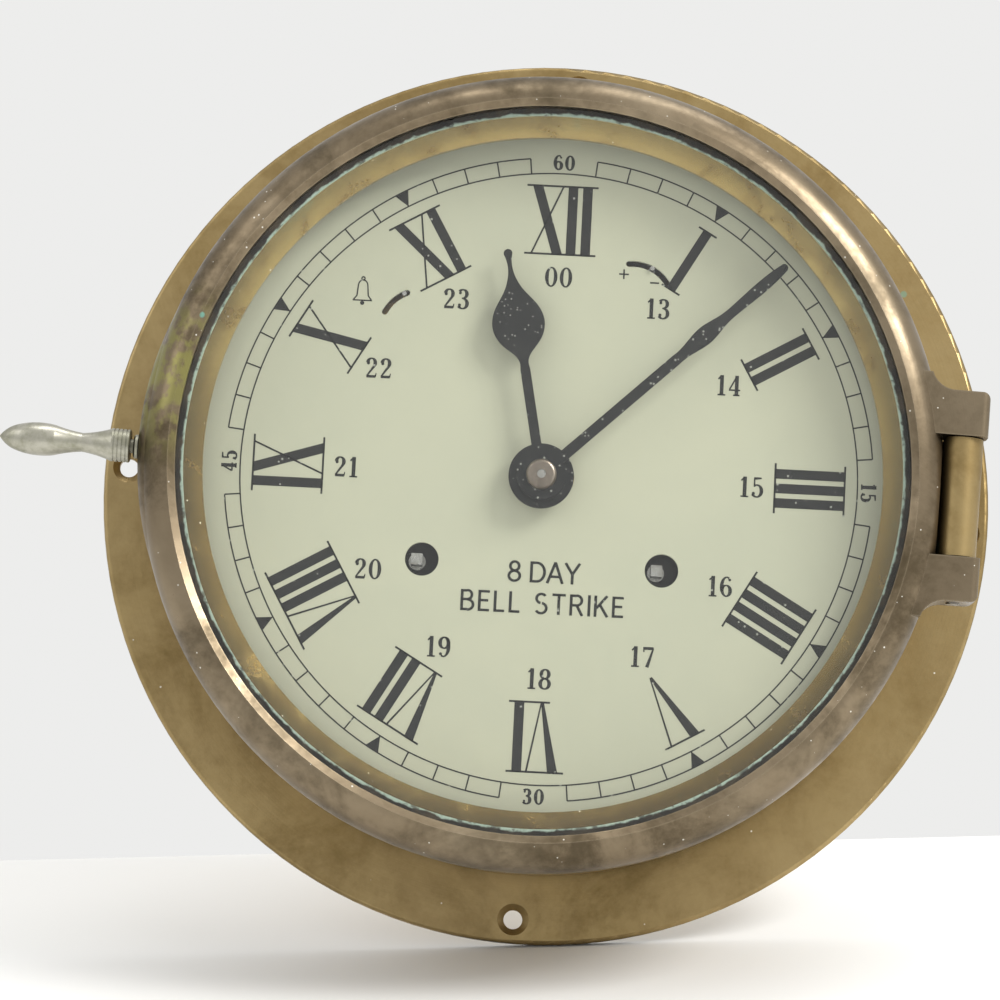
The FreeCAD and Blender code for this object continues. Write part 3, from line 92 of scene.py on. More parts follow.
# Short ways to add and join nodes in one node tree. A Mix node's sockets go by number:
# 0 is its share, 2 and 3 are its plain values, 6 and 7 its colours, and its colour comes out of 2.
class Tree:
    def __init__(self, nodes, links):
        self.nodes = nodes
        self.links = links

    def add(self, kind, **values):
        node = self.nodes.new(kind)
        for name, value in values.items():
            setattr(node, name, value)
        return node

    def put(self, socket, value):
        if isinstance(value, bpy.types.NodeSocket):
            self.links.new(value, socket)
        elif value is not None:
            socket.default_value = value

    def maths(self, operation, a, b=None, clamp=False):
        node = self.add("ShaderNodeMath", operation=operation, use_clamp=clamp)
        self.put(node.inputs[0], a)
        self.put(node.inputs[1], b)
        return node.outputs[0]

    def spread(self, value, low, high, newLow=0.0, newHigh=1.0):
        node = self.add("ShaderNodeMapRange", interpolation_type="SMOOTHSTEP")
        for index, given in enumerate((value, low, high, newLow, newHigh)):
            self.put(node.inputs[index], given)
        return node.outputs[0]

    def mix(self, share, a, b, blend="MIX"):
        node = self.add("ShaderNodeMix", data_type="RGBA", blend_type=blend)
        self.put(node.inputs[0], share)
        self.put(node.inputs[6], a)
        self.put(node.inputs[7], b)
        return node.outputs[2]

    def mixValue(self, share, a, b):
        node = self.add("ShaderNodeMix", data_type="FLOAT")
        self.put(node.inputs[0], share)
        self.put(node.inputs[2], a)
        self.put(node.inputs[3], b)
        return node.outputs[0]

    def noise(self, place, scale, detail=4.0, roughness=0.55, distortion=0.0):
        node = self.add("ShaderNodeTexNoise")
        self.put(node.inputs["Vector"], place)
        self.put(node.inputs["Scale"], scale)
        node.inputs["Detail"].default_value = detail
        node.inputs["Roughness"].default_value = roughness
        node.inputs["Distortion"].default_value = distortion
        return node.outputs["Fac"]

    def group(self, made, **values):
        node = self.add("ShaderNodeGroup", node_tree=made)
        for name, value in values.items():
            self.put(node.inputs[name], value)
        return node.outputs


# Starts a node group: its tree, and the sockets of what it is given and of its result.
def newGroup(name, inputs, outputs):
    made = bpy.data.node_groups.new(name, "ShaderNodeTree")
    for socketName, kind, value in inputs:
        socket = made.interface.new_socket(name=socketName, in_out="INPUT", socket_type=kind)
        if value is not None:
            socket.default_value = value
    for socketName, kind in outputs:
        made.interface.new_socket(name=socketName, in_out="OUTPUT", socket_type=kind)
    tree = Tree(made.nodes, made.links)
    return made, tree, tree.add("NodeGroupInput").outputs, tree.add("NodeGroupOutput").inputs


floatKind = "NodeSocketFloat"
vectorKind = "NodeSocketVector"

tarnishLook = {
    "broad": {"detail": 6.0, "roughness": 0.62, "distortion": 0.6},
    "fine": {"detail": 3.0, "roughness": 0.7},
    "finer": 9.0,                                   # how many times finer the fine noise is
    "broadShare": 0.8, "fineShare": 0.2,
}


# Blotches of tarnish: two sizes of noise added and spread between Low and High.
def tarnishGroup():
    look = tarnishLook
    made, tree, given, result = newGroup(
        "tarnish",
        [("Place", vectorKind, None), ("Scale", floatKind, 40.0),
         ("Low", floatKind, 0.4), ("High", floatKind, 0.6)],
        [("Mask", floatKind), ("Grain", floatKind)])
    broad = tree.noise(given["Place"], given["Scale"], **look["broad"])
    fine = tree.noise(given["Place"], tree.maths("MULTIPLY", given["Scale"], look["finer"]), **look["fine"])
    both = tree.maths("ADD", tree.maths("MULTIPLY", broad, look["broadShare"]),
                      tree.maths("MULTIPLY", fine, look["fineShare"]))
    tree.put(result["Mask"], tree.spread(both, given["Low"], given["High"]))
    tree.put(result["Grain"], fine)
    return made


turningLook = {"changeRound": 1.6, "detail": 2.0, "roughness": 0.6}


# Fine rings left by turning: noise read along the distance from the clock's axis, nearly constant round it.
def turningGroup():
    look = turningLook
    made, tree, given, result = newGroup(
        "turning",
        [("Place", vectorKind, None), ("Fineness", floatKind, 1500.0)],
        [("Height", floatKind)])
    apart = tree.add("ShaderNodeSeparateXYZ")
    tree.put(apart.inputs[0], given["Place"])
    square = tree.maths("ADD", tree.maths("MULTIPLY", apart.outputs[0], apart.outputs[0]),
                        tree.maths("MULTIPLY", apart.outputs[2], apart.outputs[2]))
    radius = tree.maths("SQRT", square)
    angle = tree.maths("ARCTAN2", apart.outputs[0], apart.outputs[2])
    along = tree.add("ShaderNodeCombineXYZ")
    tree.put(along.inputs[0], tree.maths("MULTIPLY", radius, given["Fineness"]))
    tree.put(along.inputs[1], tree.maths("MULTIPLY", angle, look["changeRound"]))
    tree.put(along.inputs[2], tree.maths("MULTIPLY", apart.outputs[1], given["Fineness"]))
    tree.put(result["Height"], tree.noise(along.outputs[0], 1.0, look["detail"], look["roughness"]))
    return made


speckLook = {
    "least": 0.4,                # the smallest speck, as a share of Size
    "core": 0.6,                 # the solid middle, as a share of the speck
}


# Small round specks, each cell of a Voronoi net holding one if its own random number is below Share.
def specksGroup():
    look = speckLook
    made, tree, given, result = newGroup(
        "specks",
        [("Place", vectorKind, None), ("Scale", floatKind, 400.0),
         ("Size", floatKind, 0.14), ("Share", floatKind, 0.2)],
        [("Mask", floatKind)])
    cells = tree.add("ShaderNodeTexVoronoi")
    tree.put(cells.inputs["Vector"], given["Place"])
    tree.put(cells.inputs["Scale"], given["Scale"])
    own = tree.add("ShaderNodeSeparateColor")
    tree.put(own.inputs[0], cells.outputs["Color"])
    there = tree.maths("LESS_THAN", own.outputs[0], given["Share"])
    size = tree.maths("MULTIPLY", given["Size"], tree.maths("ADD", own.outputs[1], look["least"]))
    core = tree.maths("MULTIPLY", size, look["core"])
    dot = tree.spread(cells.outputs["Distance"], core, size, 1.0, 0.0)
    tree.put(result["Mask"], tree.maths("MULTIPLY", dot, there))
    return made


wearAndShadeLook = {
    "edgeSamples": 6, "edgeFrom": 0.995, "edgeTo": 0.80,        # how alike the two normals are
    "cornerSamples": 8, "cornerFrom": 0.75, "cornerTo": 0.15,   # the share of light that gets in
}


# Rubbed edges and shaded corners: Edge rises where the rounded normal leaves the flat one,
# CornerShade where little light gets in, the mask by which the skins paint shade into corners.
def wearAndShadeGroup():
    look = wearAndShadeLook
    made, tree, given, result = newGroup(
        "wear",
        [("Reach", floatKind, 0.0008), ("Depth", floatKind, 0.006)],
        [("Edge", floatKind), ("CornerShade", floatKind)])
    rounded = tree.add("ShaderNodeBevel", samples=look["edgeSamples"])
    tree.put(rounded.inputs["Radius"], given["Reach"])
    flat = tree.add("ShaderNodeNewGeometry")
    alike = tree.add("ShaderNodeVectorMath", operation="DOT_PRODUCT")
    tree.put(alike.inputs[0], rounded.outputs[0])
    tree.put(alike.inputs[1], flat.outputs["Normal"])
    tree.put(result["Edge"], tree.spread(alike.outputs["Value"], look["edgeFrom"], look["edgeTo"]))
    hidden = tree.add("ShaderNodeAmbientOcclusion", samples=look["cornerSamples"], only_local=False)
    tree.put(hidden.inputs["Distance"], given["Depth"])
    tree.put(result["CornerShade"], tree.spread(hidden.outputs["AO"], look["cornerFrom"], look["cornerTo"]))
    return made


tarnish = tarnishGroup()
turning = turningGroup()
specks = specksGroup()
# wear gives rubbed edges and the corner mask used for painted shade
wear = wearAndShadeGroup()


# Starts a material: its tree, its Principled shader and the place on the piece.
def newMaterial(name, **constants):
    material = bpy.data.materials.new(name)
    material.use_nodes = True
    tree = Tree(material.node_tree.nodes, material.node_tree.links)
    shader = tree.nodes["Principled BSDF"]
    for socketName, value in constants.items():
        shader.inputs[socketName.replace("_", " ")].default_value = value
    place = tree.add("ShaderNodeTexCoord").outputs["Object"]
    return material, tree, shader, place


# A bump's normal; the distance is the real height in metres that full strength stands for.
def bump(tree, height, strength, distance):
    node = tree.add("ShaderNodeBump")
    node.inputs["Strength"].default_value = strength
    node.inputs["Distance"].default_value = distance
    tree.put(node.inputs["Height"], height)
    return node.outputs[0]


caseBrass = {                    # the same on every skin of the case's brass
    "metallic": 0.92, "dustDulls": 0.9,
    "dust": (0.80, 0.78, 0.70, 1.0), "verdigris": (0.18, 0.42, 0.34, 1.0),
    # grimeAndShade: near-black grime and painted shade for the corners
    "grimeAndShade": (0.035, 0.026, 0.014, 1.0),
    "markFineness": 1600.0, "edgeReach": 0.0009, "cornerDepth": 0.007,
    "cloudCoarser": 0.31, "cloudLow": 0.35, "cloudHigh": 0.75, "cloudShare": 0.45,
    "smearNear": 0.004, "smearFar": 0.030,
    "smearScale": 210.0, "smearDetail": 5.0, "smearLow": 0.40, "smearHigh": 0.56,
    "greenScale": 95.0, "greenLow": 0.60, "greenHigh": 0.70,
    "spotScale": 70.0, "spotSize": 0.075, "spotShare": 0.05,
    "dotScale": 760.0, "dotSize": 0.19, "dotStrength": 0.7,
    "cleanSmoother": 0.06, "patchRougher": 0.10, "grainRougher": 0.12, "edgeSmoother": 0.08,
    "markHeight": 0.5, "bumpHeight": 0.0002,
}
oliveStain = (0.26, 0.25, 0.075, 1.0)

bezelBrass = {
    "plain": (0.200, 0.155, 0.100, 1.0), "dark": (0.075, 0.056, 0.032, 1.0),
    "bright": (0.40, 0.33, 0.23, 1.0),
    "roughness": 0.36, "bump": 0.22, "patchScale": 34.0, "patchLow": 0.40, "patchHigh": 0.66,
    # dirtAndShade: how far grime and painted shade darken the corners
    "wear": 0.45, "dirtAndShade": 0.80, "dust": 0.06, "verdigris": 0.8,
    "stain": oliveStain, "stainShare": 0.75, "stainPlace": (-0.106, -0.068, 0.018),
}
flangeBrass = {
    "plain": (0.36, 0.265, 0.120, 1.0), "dark": (0.200, 0.138, 0.052, 1.0), "bright": (0.47, 0.36, 0.19, 1.0),
    "roughness": 0.42, "bump": 0.22, "patchScale": 26.0, "patchLow": 0.36, "patchHigh": 0.66,
    "wear": 0.18, "dirtAndShade": 0.70, "dust": 0.012, "verdigris": 0.5,
    "stain": oliveStain, "stainShare": 0.0, "stainPlace": (0.0, 0.0, 0.0),
}
sightBrass = {
    "plain": (0.50, 0.36, 0.130, 1.0), "dark": (0.31, 0.200, 0.060, 1.0), "bright": (0.60, 0.47, 0.21, 1.0),
    "roughness": 0.20, "bump": 0.03, "patchScale": 70.0, "patchLow": 0.46, "patchHigh": 0.66,
    "wear": 0.10, "dirtAndShade": 0.55, "dust": 0.02, "verdigris": 0.25,
    "stain": oliveStain, "stainShare": 0.0, "stainPlace": (0.0, 0.0, 0.0),
}


# A brass skin from its own dictionary: patches of tarnish, a broad cloud of brighter metal, grime and
# painted shade in corners, rubbed edges, a stain about one place, green spots and dust.
def brassMaterial(name, look):
    common = caseBrass
    material, tree, shader, place = newMaterial(name, Metallic=common["metallic"])
    patches = tree.group(tarnish, Place=place, Scale=look["patchScale"],
                         Low=look["patchLow"], High=look["patchHigh"])
    marks = tree.group(turning, Place=place, Fineness=common["markFineness"])
    rubAndShade = tree.group(wear, Reach=common["edgeReach"], Depth=common["cornerDepth"])
    colour = tree.mix(patches["Mask"], look["plain"], look["dark"])
    cloud = tree.group(tarnish, Place=place, Scale=look["patchScale"] * common["cloudCoarser"],
                       Low=common["cloudLow"], High=common["cloudHigh"])
    colour = tree.mix(tree.maths("MULTIPLY", cloud["Mask"], common["cloudShare"]), colour, look["bright"])
    # grime and painted shade darken the corners where little light gets in
    colour = tree.mix(tree.maths("MULTIPLY", rubAndShade["CornerShade"], look["dirtAndShade"]), colour, common["grimeAndShade"])
    colour = tree.mix(tree.maths("MULTIPLY", rubAndShade["Edge"], look["wear"]), colour, look["bright"])
    if look["stainShare"]:
        seat = tree.add("ShaderNodeVectorMath", operation="DISTANCE")
        tree.put(seat.inputs[0], place)
        tree.put(seat.inputs[1], look["stainPlace"])
        near = tree.spread(seat.outputs["Value"], common["smearNear"], common["smearFar"], 1.0, 0.0)
        broken = tree.spread(tree.noise(place, common["smearScale"], common["smearDetail"]),
                             common["smearLow"], common["smearHigh"])
        smear = tree.maths("MULTIPLY", near, broken)
        colour = tree.mix(tree.maths("MULTIPLY", smear, look["stainShare"]), colour, look["stain"])
    green = tree.group(tarnish, Place=place, Scale=common["greenScale"],
                       Low=common["greenLow"], High=common["greenHigh"])
    cornered = tree.maths("MULTIPLY", green["Mask"], rubAndShade["CornerShade"])
    share = tree.maths("MULTIPLY", cornered, look["verdigris"], clamp=True)
    spots = tree.group(specks, Place=place, Scale=common["spotScale"],
                       Size=common["spotSize"], Share=common["spotShare"])
    share = tree.maths("MAXIMUM", share, tree.maths("MULTIPLY", spots["Mask"], look["verdigris"]))
    colour = tree.mix(share, colour, common["verdigris"])
    dots = tree.group(specks, Place=place, Scale=common["dotScale"],
                      Size=common["dotSize"], Share=look["dust"])
    colour = tree.mix(tree.maths("MULTIPLY", dots["Mask"], common["dotStrength"]), colour, common["dust"])
    tree.put(shader.inputs["Base Color"], colour)
    dulled = tree.maths("MULTIPLY", dots["Mask"], common["dustDulls"])
    tree.put(shader.inputs["Metallic"], tree.maths("SUBTRACT", common["metallic"], dulled))
    rough = tree.mixValue(patches["Mask"], look["roughness"] - common["cleanSmoother"],
                          look["roughness"] + common["patchRougher"])
    uneven = tree.maths("SUBTRACT", patches["Grain"], 0.5)
    rough = tree.maths("ADD", rough, tree.maths("MULTIPLY", uneven, common["grainRougher"]))
    rough = tree.maths("SUBTRACT", rough, tree.maths("MULTIPLY", rubAndShade["Edge"], common["edgeSmoother"]))
    tree.put(shader.inputs["Roughness"], rough)
    turned = tree.maths("MULTIPLY", marks["Height"], common["markHeight"])
    height = tree.maths("ADD", turned, patches["Grain"])
    tree.put(shader.inputs["Normal"], bump(tree, height, look["bump"], common["bumpHeight"]))
    return material


grainHeight = 0.0001             # metres, on the small parts, the dial and the paint
movementBrass = {
    "plain": (0.72, 0.50, 0.21, 1.0), "dull": (0.50, 0.34, 0.13, 1.0),
    "grimeAndShade": (0.12, 0.08, 0.03, 1.0), "bright": (0.86, 0.66, 0.34, 1.0),
    "patchScale": 60.0, "patchLow": 0.42, "patchHigh": 0.62,
    # grimeAndShadeShare: how far grime and painted shade darken the corners
    "edgeReach": 0.0003, "cornerDepth": 0.004, "grimeAndShadeShare": 0.6, "brightShare": 0.5,
    "smooth": 0.24, "rough": 0.38, "grainScale": 2600.0, "grainDetail": 2.0, "bump": 0.08,
}


def movementBrassMaterial():
    look = movementBrass
    material, tree, shader, place = newMaterial("movement_brass", Metallic=1.0)
    patches = tree.group(tarnish, Place=place, Scale=look["patchScale"],
                         Low=look["patchLow"], High=look["patchHigh"])
    rubAndShade = tree.group(wear, Reach=look["edgeReach"], Depth=look["cornerDepth"])
    colour = tree.mix(patches["Mask"], look["plain"], look["dull"])
    # grime and painted shade darken the corners where little light gets in
    colour = tree.mix(tree.maths("MULTIPLY", rubAndShade["CornerShade"], look["grimeAndShadeShare"]), colour, look["grimeAndShade"])
    colour = tree.mix(tree.maths("MULTIPLY", rubAndShade["Edge"], look["brightShare"]), colour, look["bright"])
    tree.put(shader.inputs["Base Color"], colour)
    tree.put(shader.inputs["Roughness"], tree.mixValue(patches["Mask"], look["smooth"], look["rough"]))
    grain = tree.noise(place, look["grainScale"], look["grainDetail"])
    tree.put(shader.inputs["Normal"], bump(tree, grain, look["bump"], grainHeight))
    return material


smallMetal = {                   # the same on every metal piece that isn't brass
    "patchLow": 0.40, "patchHigh": 0.66, "edgeReach": 0.0003, "cornerDepth": 0.003,
    # grimeAndShade and its share: grime and painted shade for the corners
    "grimeAndShade": (0.04, 0.035, 0.03, 1.0), "grimeAndShadeShare": 0.6,
    "patchRougher": 0.14, "grainDetail": 2.0, "bump": 0.10,
}
metals = {
    "steel": {"plain": (0.46, 0.45, 0.43, 1.0), "dull": (0.25, 0.235, 0.21, 1.0), "roughness": 0.26},
    "blued_spring": {"plain": (0.05, 0.075, 0.16, 1.0), "dull": (0.035, 0.04, 0.07, 1.0), "roughness": 0.28},
    "nickel": {"plain": (0.46, 0.445, 0.38, 1.0), "dull": (0.27, 0.265, 0.20, 1.0), "roughness": 0.30,
               "patchScale": 90.0, "grainScale": 1500.0},
    "bell_metal": {"plain": (0.62, 0.47, 0.25, 1.0), "dull": (0.40, 0.28, 0.13, 1.0), "roughness": 0.30},
    "dull_nut": {"plain": (0.24, 0.20, 0.165, 1.0), "dull": (0.13, 0.10, 0.08, 1.0), "roughness": 0.36},
    # near-black steel for the ratchet wheels: painted shade inside the winding holes
    "shade_black_steel": {"plain": (0.020, 0.019, 0.017, 1.0), "dull": (0.010, 0.009, 0.008, 1.0),
                    "roughness": 0.45},
}


def metalMaterial(name, plain, dull, roughness, patchScale=120.0, grainScale=2400.0):
    common = smallMetal
    material, tree, shader, place = newMaterial(name, Metallic=1.0)
    patches = tree.group(tarnish, Place=place, Scale=patchScale,
                         Low=common["patchLow"], High=common["patchHigh"])
    rubAndShade = tree.group(wear, Reach=common["edgeReach"], Depth=common["cornerDepth"])
    colour = tree.mix(patches["Mask"], plain, dull)
    # grime and painted shade darken the corners where little light gets in
    colour = tree.mix(tree.maths("MULTIPLY", rubAndShade["CornerShade"], common["grimeAndShadeShare"]), colour, common["grimeAndShade"])
    tree.put(shader.inputs["Base Color"], colour)
    rough = tree.mixValue(patches["Mask"], roughness, roughness + common["patchRougher"])
    tree.put(shader.inputs["Roughness"], rough)
    grain = tree.noise(place, grainScale, common["grainDetail"])
    tree.put(shader.inputs["Normal"], bump(tree, grain, common["bump"], grainHeight))
    return material


enamel = {
    "plain": (0.445, 0.440, 0.335, 1.0), "aged": (0.475, 0.465, 0.350, 1.0), "spot": (0.40, 0.40, 0.28, 1.0),
    "coat": 0.12, "coatRoughness": 0.25,
    "patchScale": 14.0, "patchLow": 0.34, "patchHigh": 0.70,
    "spotScale": 150.0, "spotSize": 0.10, "spotShare": 0.10, "spotStrength": 0.30,
    "smooth": 0.46, "rough": 0.58, "grainScale": 900.0, "grainDetail": 2.0, "bump": 0.04,
}


def enamelMaterial():
    look = enamel
    material, tree, shader, place = newMaterial("dial_enamel", Coat_Weight=look["coat"],
                                                Coat_Roughness=look["coatRoughness"])
    patches = tree.group(tarnish, Place=place, Scale=look["patchScale"],
                         Low=look["patchLow"], High=look["patchHigh"])
    dots = tree.group(specks, Place=place, Scale=look["spotScale"],
                      Size=look["spotSize"], Share=look["spotShare"])
    colour = tree.mix(patches["Mask"], look["plain"], look["aged"])
    colour = tree.mix(tree.maths("MULTIPLY", dots["Mask"], look["spotStrength"]), colour, look["spot"])
    tree.put(shader.inputs["Base Color"], colour)
    tree.put(shader.inputs["Roughness"], tree.mixValue(patches["Mask"], look["smooth"], look["rough"]))
    grain = tree.noise(place, look["grainScale"], look["grainDetail"])
    tree.put(shader.inputs["Normal"], bump(tree, grain, look["bump"], grainHeight))
    return material


blackPaint = {                   # the same on the hands and the printing
    "specular": 0.20, "dust": (0.50, 0.50, 0.44, 1.0),
    "patchScale": 160.0, "patchLow": 0.45, "patchHigh": 0.70, "patchRougher": 0.15,
    "dotScale": 1100.0, "dotSize": 0.34, "dotStrength": 0.6,
    "grainScale": 1800.0, "grainDetail": 2.0, "bump": 0.10,
}
blacks = {
    "hand_black": {"plain": (0.006, 0.006, 0.006, 1.0), "faded": (0.014, 0.014, 0.013, 1.0),
                   "roughness": 0.42, "dustShare": 0.20},
    "dial_ink": {"plain": (0.007, 0.007, 0.007, 1.0), "faded": (0.016, 0.015, 0.014, 1.0),
                 "roughness": 0.55, "dustShare": 0.10},
}


def blackMaterial(name, plain, faded, roughness, dustShare):
    common = blackPaint
    material, tree, shader, place = newMaterial(name, Specular_IOR_Level=common["specular"])
    patches = tree.group(tarnish, Place=place, Scale=common["patchScale"],
                         Low=common["patchLow"], High=common["patchHigh"])
    dots = tree.group(specks, Place=place, Scale=common["dotScale"], Size=common["dotSize"], Share=dustShare)
    colour = tree.mix(patches["Mask"], plain, faded)
    colour = tree.mix(tree.maths("MULTIPLY", dots["Mask"], common["dotStrength"]), colour, common["dust"])
    tree.put(shader.inputs["Base Color"], colour)
    rough = tree.mixValue(patches["Mask"], roughness, roughness + common["patchRougher"])
    tree.put(shader.inputs["Roughness"], rough)
    grain = tree.noise(place, common["grainScale"], common["grainDetail"])
    tree.put(shader.inputs["Normal"], bump(tree, grain, common["bump"], grainHeight))
    return material


plateGlass = {
    "tint": (0.975, 0.99, 0.975, 1.0), "clear": (0.96, 0.975, 0.96, 1.0), "ior": 1.46, "specular": 0.06,
    "smearScale": 22.0, "smearLow": 0.45, "smearHigh": 0.80, "smearRoughness": 0.02,
}


# Glass with faint smears; to shadow and diffuse rays it is plainly clear, so light reaches the dial.
def glassMaterial():
    look = plateGlass
    material, tree, shader, place = newMaterial("glass", Metallic=0.0, Transmission_Weight=1.0,
                                                IOR=look["ior"], Specular_IOR_Level=look["specular"])
    shader.inputs["Base Color"].default_value = look["tint"]
    smear = tree.group(tarnish, Place=place, Scale=look["smearScale"],
                       Low=look["smearLow"], High=look["smearHigh"])
    tree.put(shader.inputs["Roughness"], tree.maths("MULTIPLY", smear["Mask"], look["smearRoughness"]))
    clear = tree.add("ShaderNodeBsdfTransparent")
    clear.inputs[0].default_value = look["clear"]

    path = tree.add("ShaderNodeLightPath")
    through = tree.maths("MAXIMUM", path.outputs["Is Shadow Ray"], path.outputs["Is Diffuse Ray"])
    both = tree.add("ShaderNodeMixShader")
    tree.put(both.inputs[0], through)
    tree.links.new(shader.outputs[0], both.inputs[1])
    tree.links.new(clear.outputs[0], both.inputs[2])
    tree.links.new(both.outputs[0], tree.nodes["Material Output"].inputs["Surface"])
    return material


seal = {                         # old brown putty with a pale green line along its inner edge; its near-black is painted shadow of the gap under the bezel's lip
    "centre": -0.0018,           # x of the ring's middle in metres; z is 0
    "lineFrom": 0.1007, "lineTo": 0.1013, "wander": 0.0028, "wanderScale": 150.0, "wanderDetail": 5.0,
    "breakScale": 420.0, "breakDetail": 3.0, "noiseRoughness": 0.7,
    "breakLow": 0.36, "breakHigh": 0.50, "breakLeast": 0.25,
    "patchScale": 120.0, "patchLow": 0.40, "patchHigh": 0.66,
    "gapShadow": (0.022, 0.017, 0.012, 1.0), "brown": (0.075, 0.052, 0.028, 1.0), "pale": (0.42, 0.52, 0.44, 1.0),
    "smooth": 0.55, "rough": 0.8, "bump": 0.4, "bumpHeight": 0.0003,
}


# The pale line keeps to a distance from the ring's middle, the root of x squared and z squared, which wanders
# with a noise; a second noise breaks the line up.
def sealMaterial():
    look = seal
    material, tree, shader, place = newMaterial("seal")
    patches = tree.group(tarnish, Place=place, Scale=look["patchScale"],
                         Low=look["patchLow"], High=look["patchHigh"])
    apart = tree.add("ShaderNodeSeparateXYZ")
    tree.put(apart.inputs[0], place)
    x = tree.maths("SUBTRACT", apart.outputs[0], look["centre"])
    z = apart.outputs[2]
    square = tree.maths("ADD", tree.maths("MULTIPLY", x, x), tree.maths("MULTIPLY", z, z))
    drift = tree.noise(place, look["wanderScale"], look["wanderDetail"], look["noiseRoughness"])
    wander = tree.maths("MULTIPLY", tree.maths("SUBTRACT", drift, 0.5), look["wander"])
    radius = tree.maths("ADD", tree.maths("SQRT", square), wander)
    pale = tree.spread(radius, look["lineFrom"], look["lineTo"], 1.0, 0.0)
    gaps = tree.noise(place, look["breakScale"], look["breakDetail"], look["noiseRoughness"])
    broken = tree.spread(gaps, look["breakLow"], look["breakHigh"], look["breakLeast"], 1.0)
    # near-black patches are painted shadow of the gap under the bezel's lip, the brown is the putty
    colour = tree.mix(patches["Mask"], look["gapShadow"], look["brown"])
    colour = tree.mix(tree.maths("MULTIPLY", pale, broken), colour, look["pale"])
    tree.put(shader.inputs["Base Color"], colour)
    tree.put(shader.inputs["Roughness"], tree.mixValue(patches["Mask"], look["smooth"], look["rough"]))
    tree.put(shader.inputs["Normal"], bump(tree, patches["Grain"], look["bump"], look["bumpHeight"]))
    return material


materials = {
    "aged_brass": brassMaterial("aged_brass", bezelBrass),
    "flange_brass": brassMaterial("flange_brass", flangeBrass),
    "sight_brass": brassMaterial("sight_brass", sightBrass),
    "movement_brass": movementBrassMaterial(),
    "dial_enamel": enamelMaterial(),
    "glass": glassMaterial(),
    "seal": sealMaterial(),
}
for name, look in metals.items():
    materials[name] = metalMaterial(name, **look)
for name, look in blacks.items():
    materials[name] = blackMaterial(name, **look)
ownSkins = {                     # nodes whose metal differs from their slot's
    "sight_ring": "sight_brass", "hand_nut": "dull_nut",
    # the ratchet wheels are painted near-black as the shade inside the winding holes
    "going_ratchet_wheel": "shade_black_steel", "strike_ratchet_wheel": "shade_black_steel",
}
for name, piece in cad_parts.items():
    for holder in piece.material_slots:
        slotName = holder.material.name.split(".")[0]
        holder.material = materials[ownSkins.get(name, slotName)]
print("materials made:", len(materials))


dial = {
    "turn": 1.7,                 # degrees anticlockwise in the case
    "front": -seatOf["dial_plate"][0].y / mm,
    "inkHeight": 0.05,
    "trackInner": 87.2, "trackOuter": 91.6, "trackLine": 0.40, "tickLine": 0.42, "triangleBase": 4.2,
    "trackBreak": 6,             # degrees left open each side of a minute numeral
    "minuteNumeralRadius": 90.4, "minuteNumeralHeight": 4.3, "minuteNumeralGap": 0.75,
    "romanFoot": 63.6, "romanTop": 83.8, "romanThick": 2.75, "romanThin": 0.55, "romanBar": 0.55,
    "romanPitch": 4.15, "romanOverhang": 1.6, "romanWide": 9.2, "romanGap": 1.0,
    "hourNumeralRadius": 57.3, "hourNumeralHeight": 5.8, "hourNumeralGap": 0.7,
    "wordHeight": 6.0, "wordLine": 0.72, "wordStretch": 1.12, "shortWordGap": 0.3, "longWordGap": 1.05,
    "shortWordPlace": (0.0, -27.2), "longWordPlace": (-0.1, -36.0),
    "plusPlace": (18.5, 59.1), "minusPlace": (27.3, 57.0), "bellPlace": (-55.3, 50.4),
    "plusReach": 1.4, "minusReach": 1.3, "signLine": 0.45, "bellLine": 0.38,
}


# A stroke is a left and a right edge with as many points each.
# This one's width is level, so that its ends are cut level too.

def slanted(x0, y0, x1, y1, width):
    low = np.array([[x0, y0], [x1, y1]], float)
    side = np.array([width / 2, 0.0])
    return low - side, low + side


# A straight stroke whose width is across its own direction, and may change along it.
def line(x0, y0, x1, y1, width, endWidth=None):
    path = np.array([[x0, y0], [x1, y1]], float)
    along = path[1] - path[0]
    across = np.array([-along[1], along[0]]) / np.linalg.norm(along)
    half = np.array([width, width if endWidth is None else endWidth])[:, None] / 2
    return path - across * half, path + across * half


# An arc of an ellipse; its line grows from thin at top and bottom to thick at the sides
# with the cosine of the angle, raised to bowSwell.
bowSwell = 1.6


def bow(cx, cy, rx, ry, start, end, thin, thick, count=22):
    angle = np.radians(np.linspace(start, end, count))
    half = (thin + (thick - thin) * np.abs(np.cos(angle)) ** bowSwell) / 2
    inner = np.stack([cx + (rx - half) * np.cos(angle), cy + (ry - half) * np.sin(angle)], axis=-1)
    outer = np.stack([cx + (rx + half) * np.cos(angle), cy + (ry + half) * np.sin(angle)], axis=-1)
    return inner, outer


# A round dot, as a stroke whose edges are its two halves.
def ball(cx, cy, radius, count=12):
    angle = np.linspace(0, math.pi, count)
    left = np.stack([cx - radius * np.sin(angle), cy + radius * np.cos(angle)], axis=-1)
    right = np.stack([cx + radius * np.sin(angle), cy + radius * np.cos(angle)], axis=-1)
    return left, right


